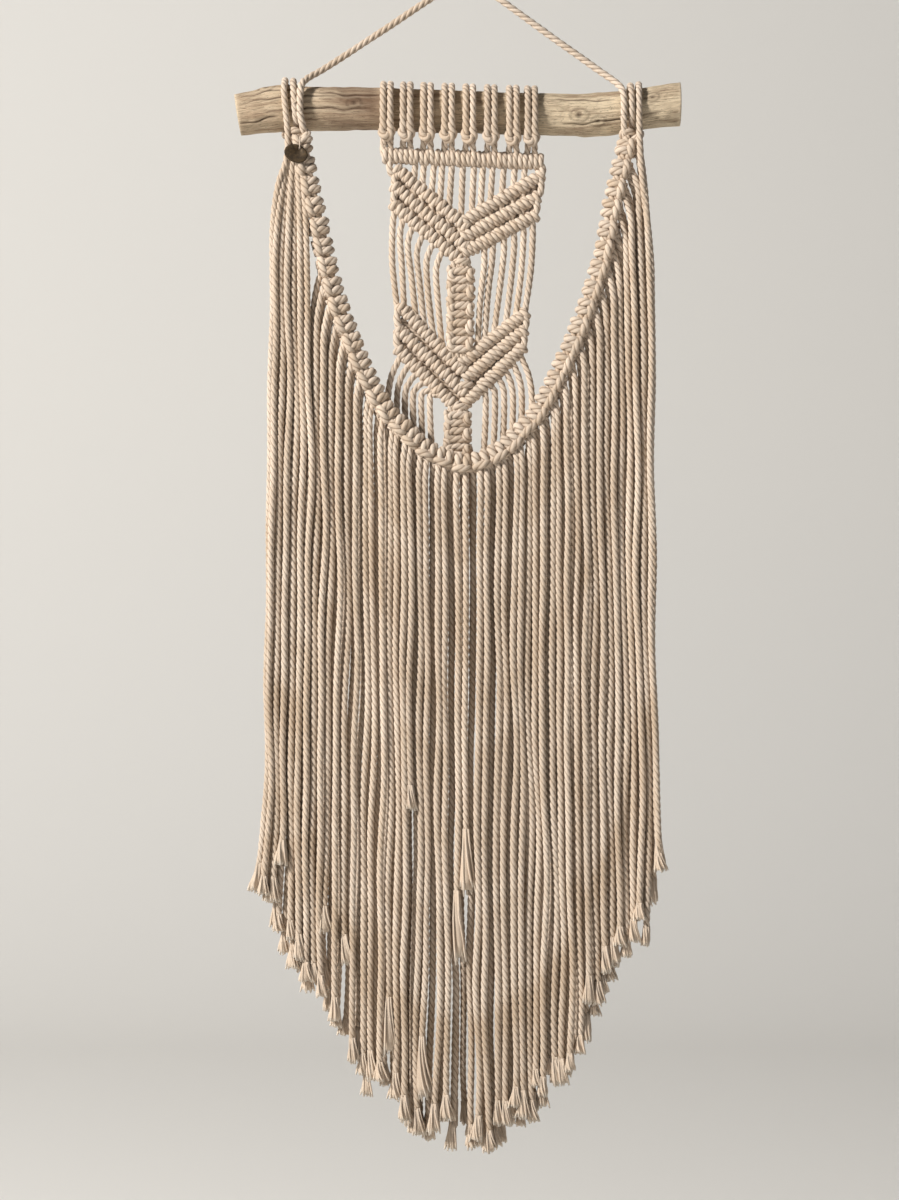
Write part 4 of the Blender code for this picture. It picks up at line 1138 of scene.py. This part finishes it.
# ---- the tag
TAG_HOLE = (1.2, 4.3, 1.1)  # place along and across the oval, radius
TAG_ROUND, TAG_LOOP_RADIUS, TAG_LOOP_STEP = 48, 0.5, 0.5
TAG_EDGE = ((0.25, 0.0), (0.0, 0.3), (0.0, 0.9))  # depth from the front, inset from the outline
TAG_LIP = ((0.0, 0.25), (0.25, 0.0))  # depth from the front, growth of the hole
TAG_LOOP = (  # from the hole across, from the disc's back, from the hole up
    (0, 1.6, 4.5), (-0.2, 0.7, 1.5), (0, -0.6, 0), (0.2, -2.1, 1.5), (0.3, -1.5, 5), (0.2, 0.9, 9),
)


def tag_point(along, across):
    """x and z of a place on the leaning disc."""
    lean = math.radians(TAG_LEAN)
    x = TAG_CENTRE[0] + along * math.cos(lean) + across * math.sin(lean)
    return x, TAG_CENTRE[1] - along * math.sin(lean) + across * math.cos(lean)


def tag(finish, cord_finish):
    """An oval disc with rounded edges and a hole, and the cord that it hangs on."""
    hole_a, hole_b, hole_r = TAG_HOLE
    half_a, half_b = TAG_WIDTH / 2, TAG_HEIGHT / 2
    rings = [(depth, (0.0, 0.0), (half_a - inset, half_b - inset)) for depth, inset in TAG_EDGE]
    rings += [(depth, (hole_a, hole_b), (hole_r + more, hole_r + more)) for depth, more in TAG_LIP]
    rings += [(TAG_THICKNESS - depth, middle, size) for depth, middle, size in reversed(rings)]
    angle = 2 * math.pi * np.arange(TAG_ROUND) / TAG_ROUND
    points = []
    for depth, (a, b), (half_a, half_b) in rings:
        x, z = tag_point(a + half_a * np.cos(angle), b + half_b * np.sin(angle))
        points.append(np.stack((x, np.full(TAG_ROUND, TAG_BACK - TAG_THICKNESS + depth), z), 1))
    disc = add_mesh("tag_disc", np.vstack(points), wall(len(rings), TAG_ROUND, closed=True).tolist(), finish)
    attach(disc, "root")
    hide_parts("tag")
    hole_x, hole_z = tag_point(hole_a, hole_b)
    yarn = Yarn()
    path = smooth([(hole_x + x, TAG_BACK + y, hole_z + z) for x, y, z in TAG_LOOP], 12)
    yarn.laid(path, TAG_LOOP_RADIUS, TAG_LOOP_STEP, tone=0.3)
    loop = yarn.build("tag_loop", cord_finish)


# ---- stage
FLOOR_Z, FLOOR_FRONT_Y = -1050.0, -6000.0
BACK_Y, BACK_TOP_Z = 2600.0, 5000.0
SWEEP_RADIUS, SWEEP_STEPS = 900.0, 16
SWEEP_HALF = 6000.0
PAPER_COLOUR, PAPER_ROUGHNESS = linear((226, 224, 220)), 0.9


def sweep_stage():
    """A pale floor that curves up into a backdrop."""
    centre_y, centre_z = BACK_Y - SWEEP_RADIUS, FLOOR_Z + SWEEP_RADIUS
    profile = [(FLOOR_FRONT_Y, FLOOR_Z)]
    for angle in np.linspace(0, math.pi / 2, SWEEP_STEPS + 1):
        profile.append((centre_y + SWEEP_RADIUS * math.sin(angle), centre_z - SWEEP_RADIUS * math.cos(angle)))
    profile.append((BACK_Y, BACK_TOP_Z))
    points = [(x, y, z) for y, z in profile for x in (-SWEEP_HALF, SWEEP_HALF)]
    faces = [(2 * i, 2 * i + 1, 2 * i + 3, 2 * i + 2) for i in range(len(profile) - 1)]
    paper = Finish("backdrop_paper")
    paper.surface(Base_Color=PAPER_COLOUR, Roughness=PAPER_ROUGHNESS)
    backdrop = add_mesh("backdrop", points, faces, paper.material)


def lamp(name, place, size, watts, colour):
    """A round lamp aimed at the middle of the hanging."""
    light = bpy.data.lights.new(name, "AREA")
    light.shape = "DISK"
    light.size = size
    light.energy = watts
    light.color = colour
    made = add_object(name, light)
    made.location = place
    made.rotation_euler = (Vector(MIDDLE) - Vector(place)).to_track_quat("-Z", "Y").to_euler()


MIDDLE = (0.0, 0.0, -0.45)  # here and below in metres
CAMERA_PLACE = (-0.0124, -2.4, -0.472)
CAMERA_LENS, SENSOR_HEIGHT, CLIP_END = 63.6, 24.0, 50.0
LAMPS = (  # name, place, size, watts, colour
    ("key", (-3.05, -2.25, 1.75), 0.7, 280.0, (1.0, 0.975, 0.94)),
    ("fill", (2.4, -2.6, -0.2), 2.4, 8.0, (0.97, 0.98, 1.0)),
)
WORLD_COLOUR, WORLD_STRENGTH = (0.92, 0.95, 1.0), 0.10


def camera():
    lens = bpy.data.cameras.new("camera")
    lens.sensor_fit = "VERTICAL"
    lens.sensor_height = SENSOR_HEIGHT
    lens.lens = CAMERA_LENS
    lens.clip_end = CLIP_END
    made = add_object("camera", lens)
    made.location = CAMERA_PLACE
    made.rotation_euler = (math.pi / 2, 0, 0)
    bpy.context.scene.camera = made


def light():
    world = bpy.data.worlds.new("studio")
    world.use_nodes = True
    background = world.node_tree.nodes["Background"]
    background.inputs["Color"].default_value = (*WORLD_COLOUR, 1.0)
    background.inputs["Strength"].default_value = WORLD_STRENGTH
    bpy.context.scene.world = world
    for row in LAMPS:
        lamp(*row)
    bpy.context.scene.view_settings.view_transform = "Standard"


# ---- making
camera()
COTTON = cotton()
hanger(COTTON)
GAPS = fringe_and_swag(COTTON)
ties(COTTON)
panel(COTTON, GAPS)
branch(driftwood())
tag(aged_brass(), COTTON)
sweep_stage()
light()
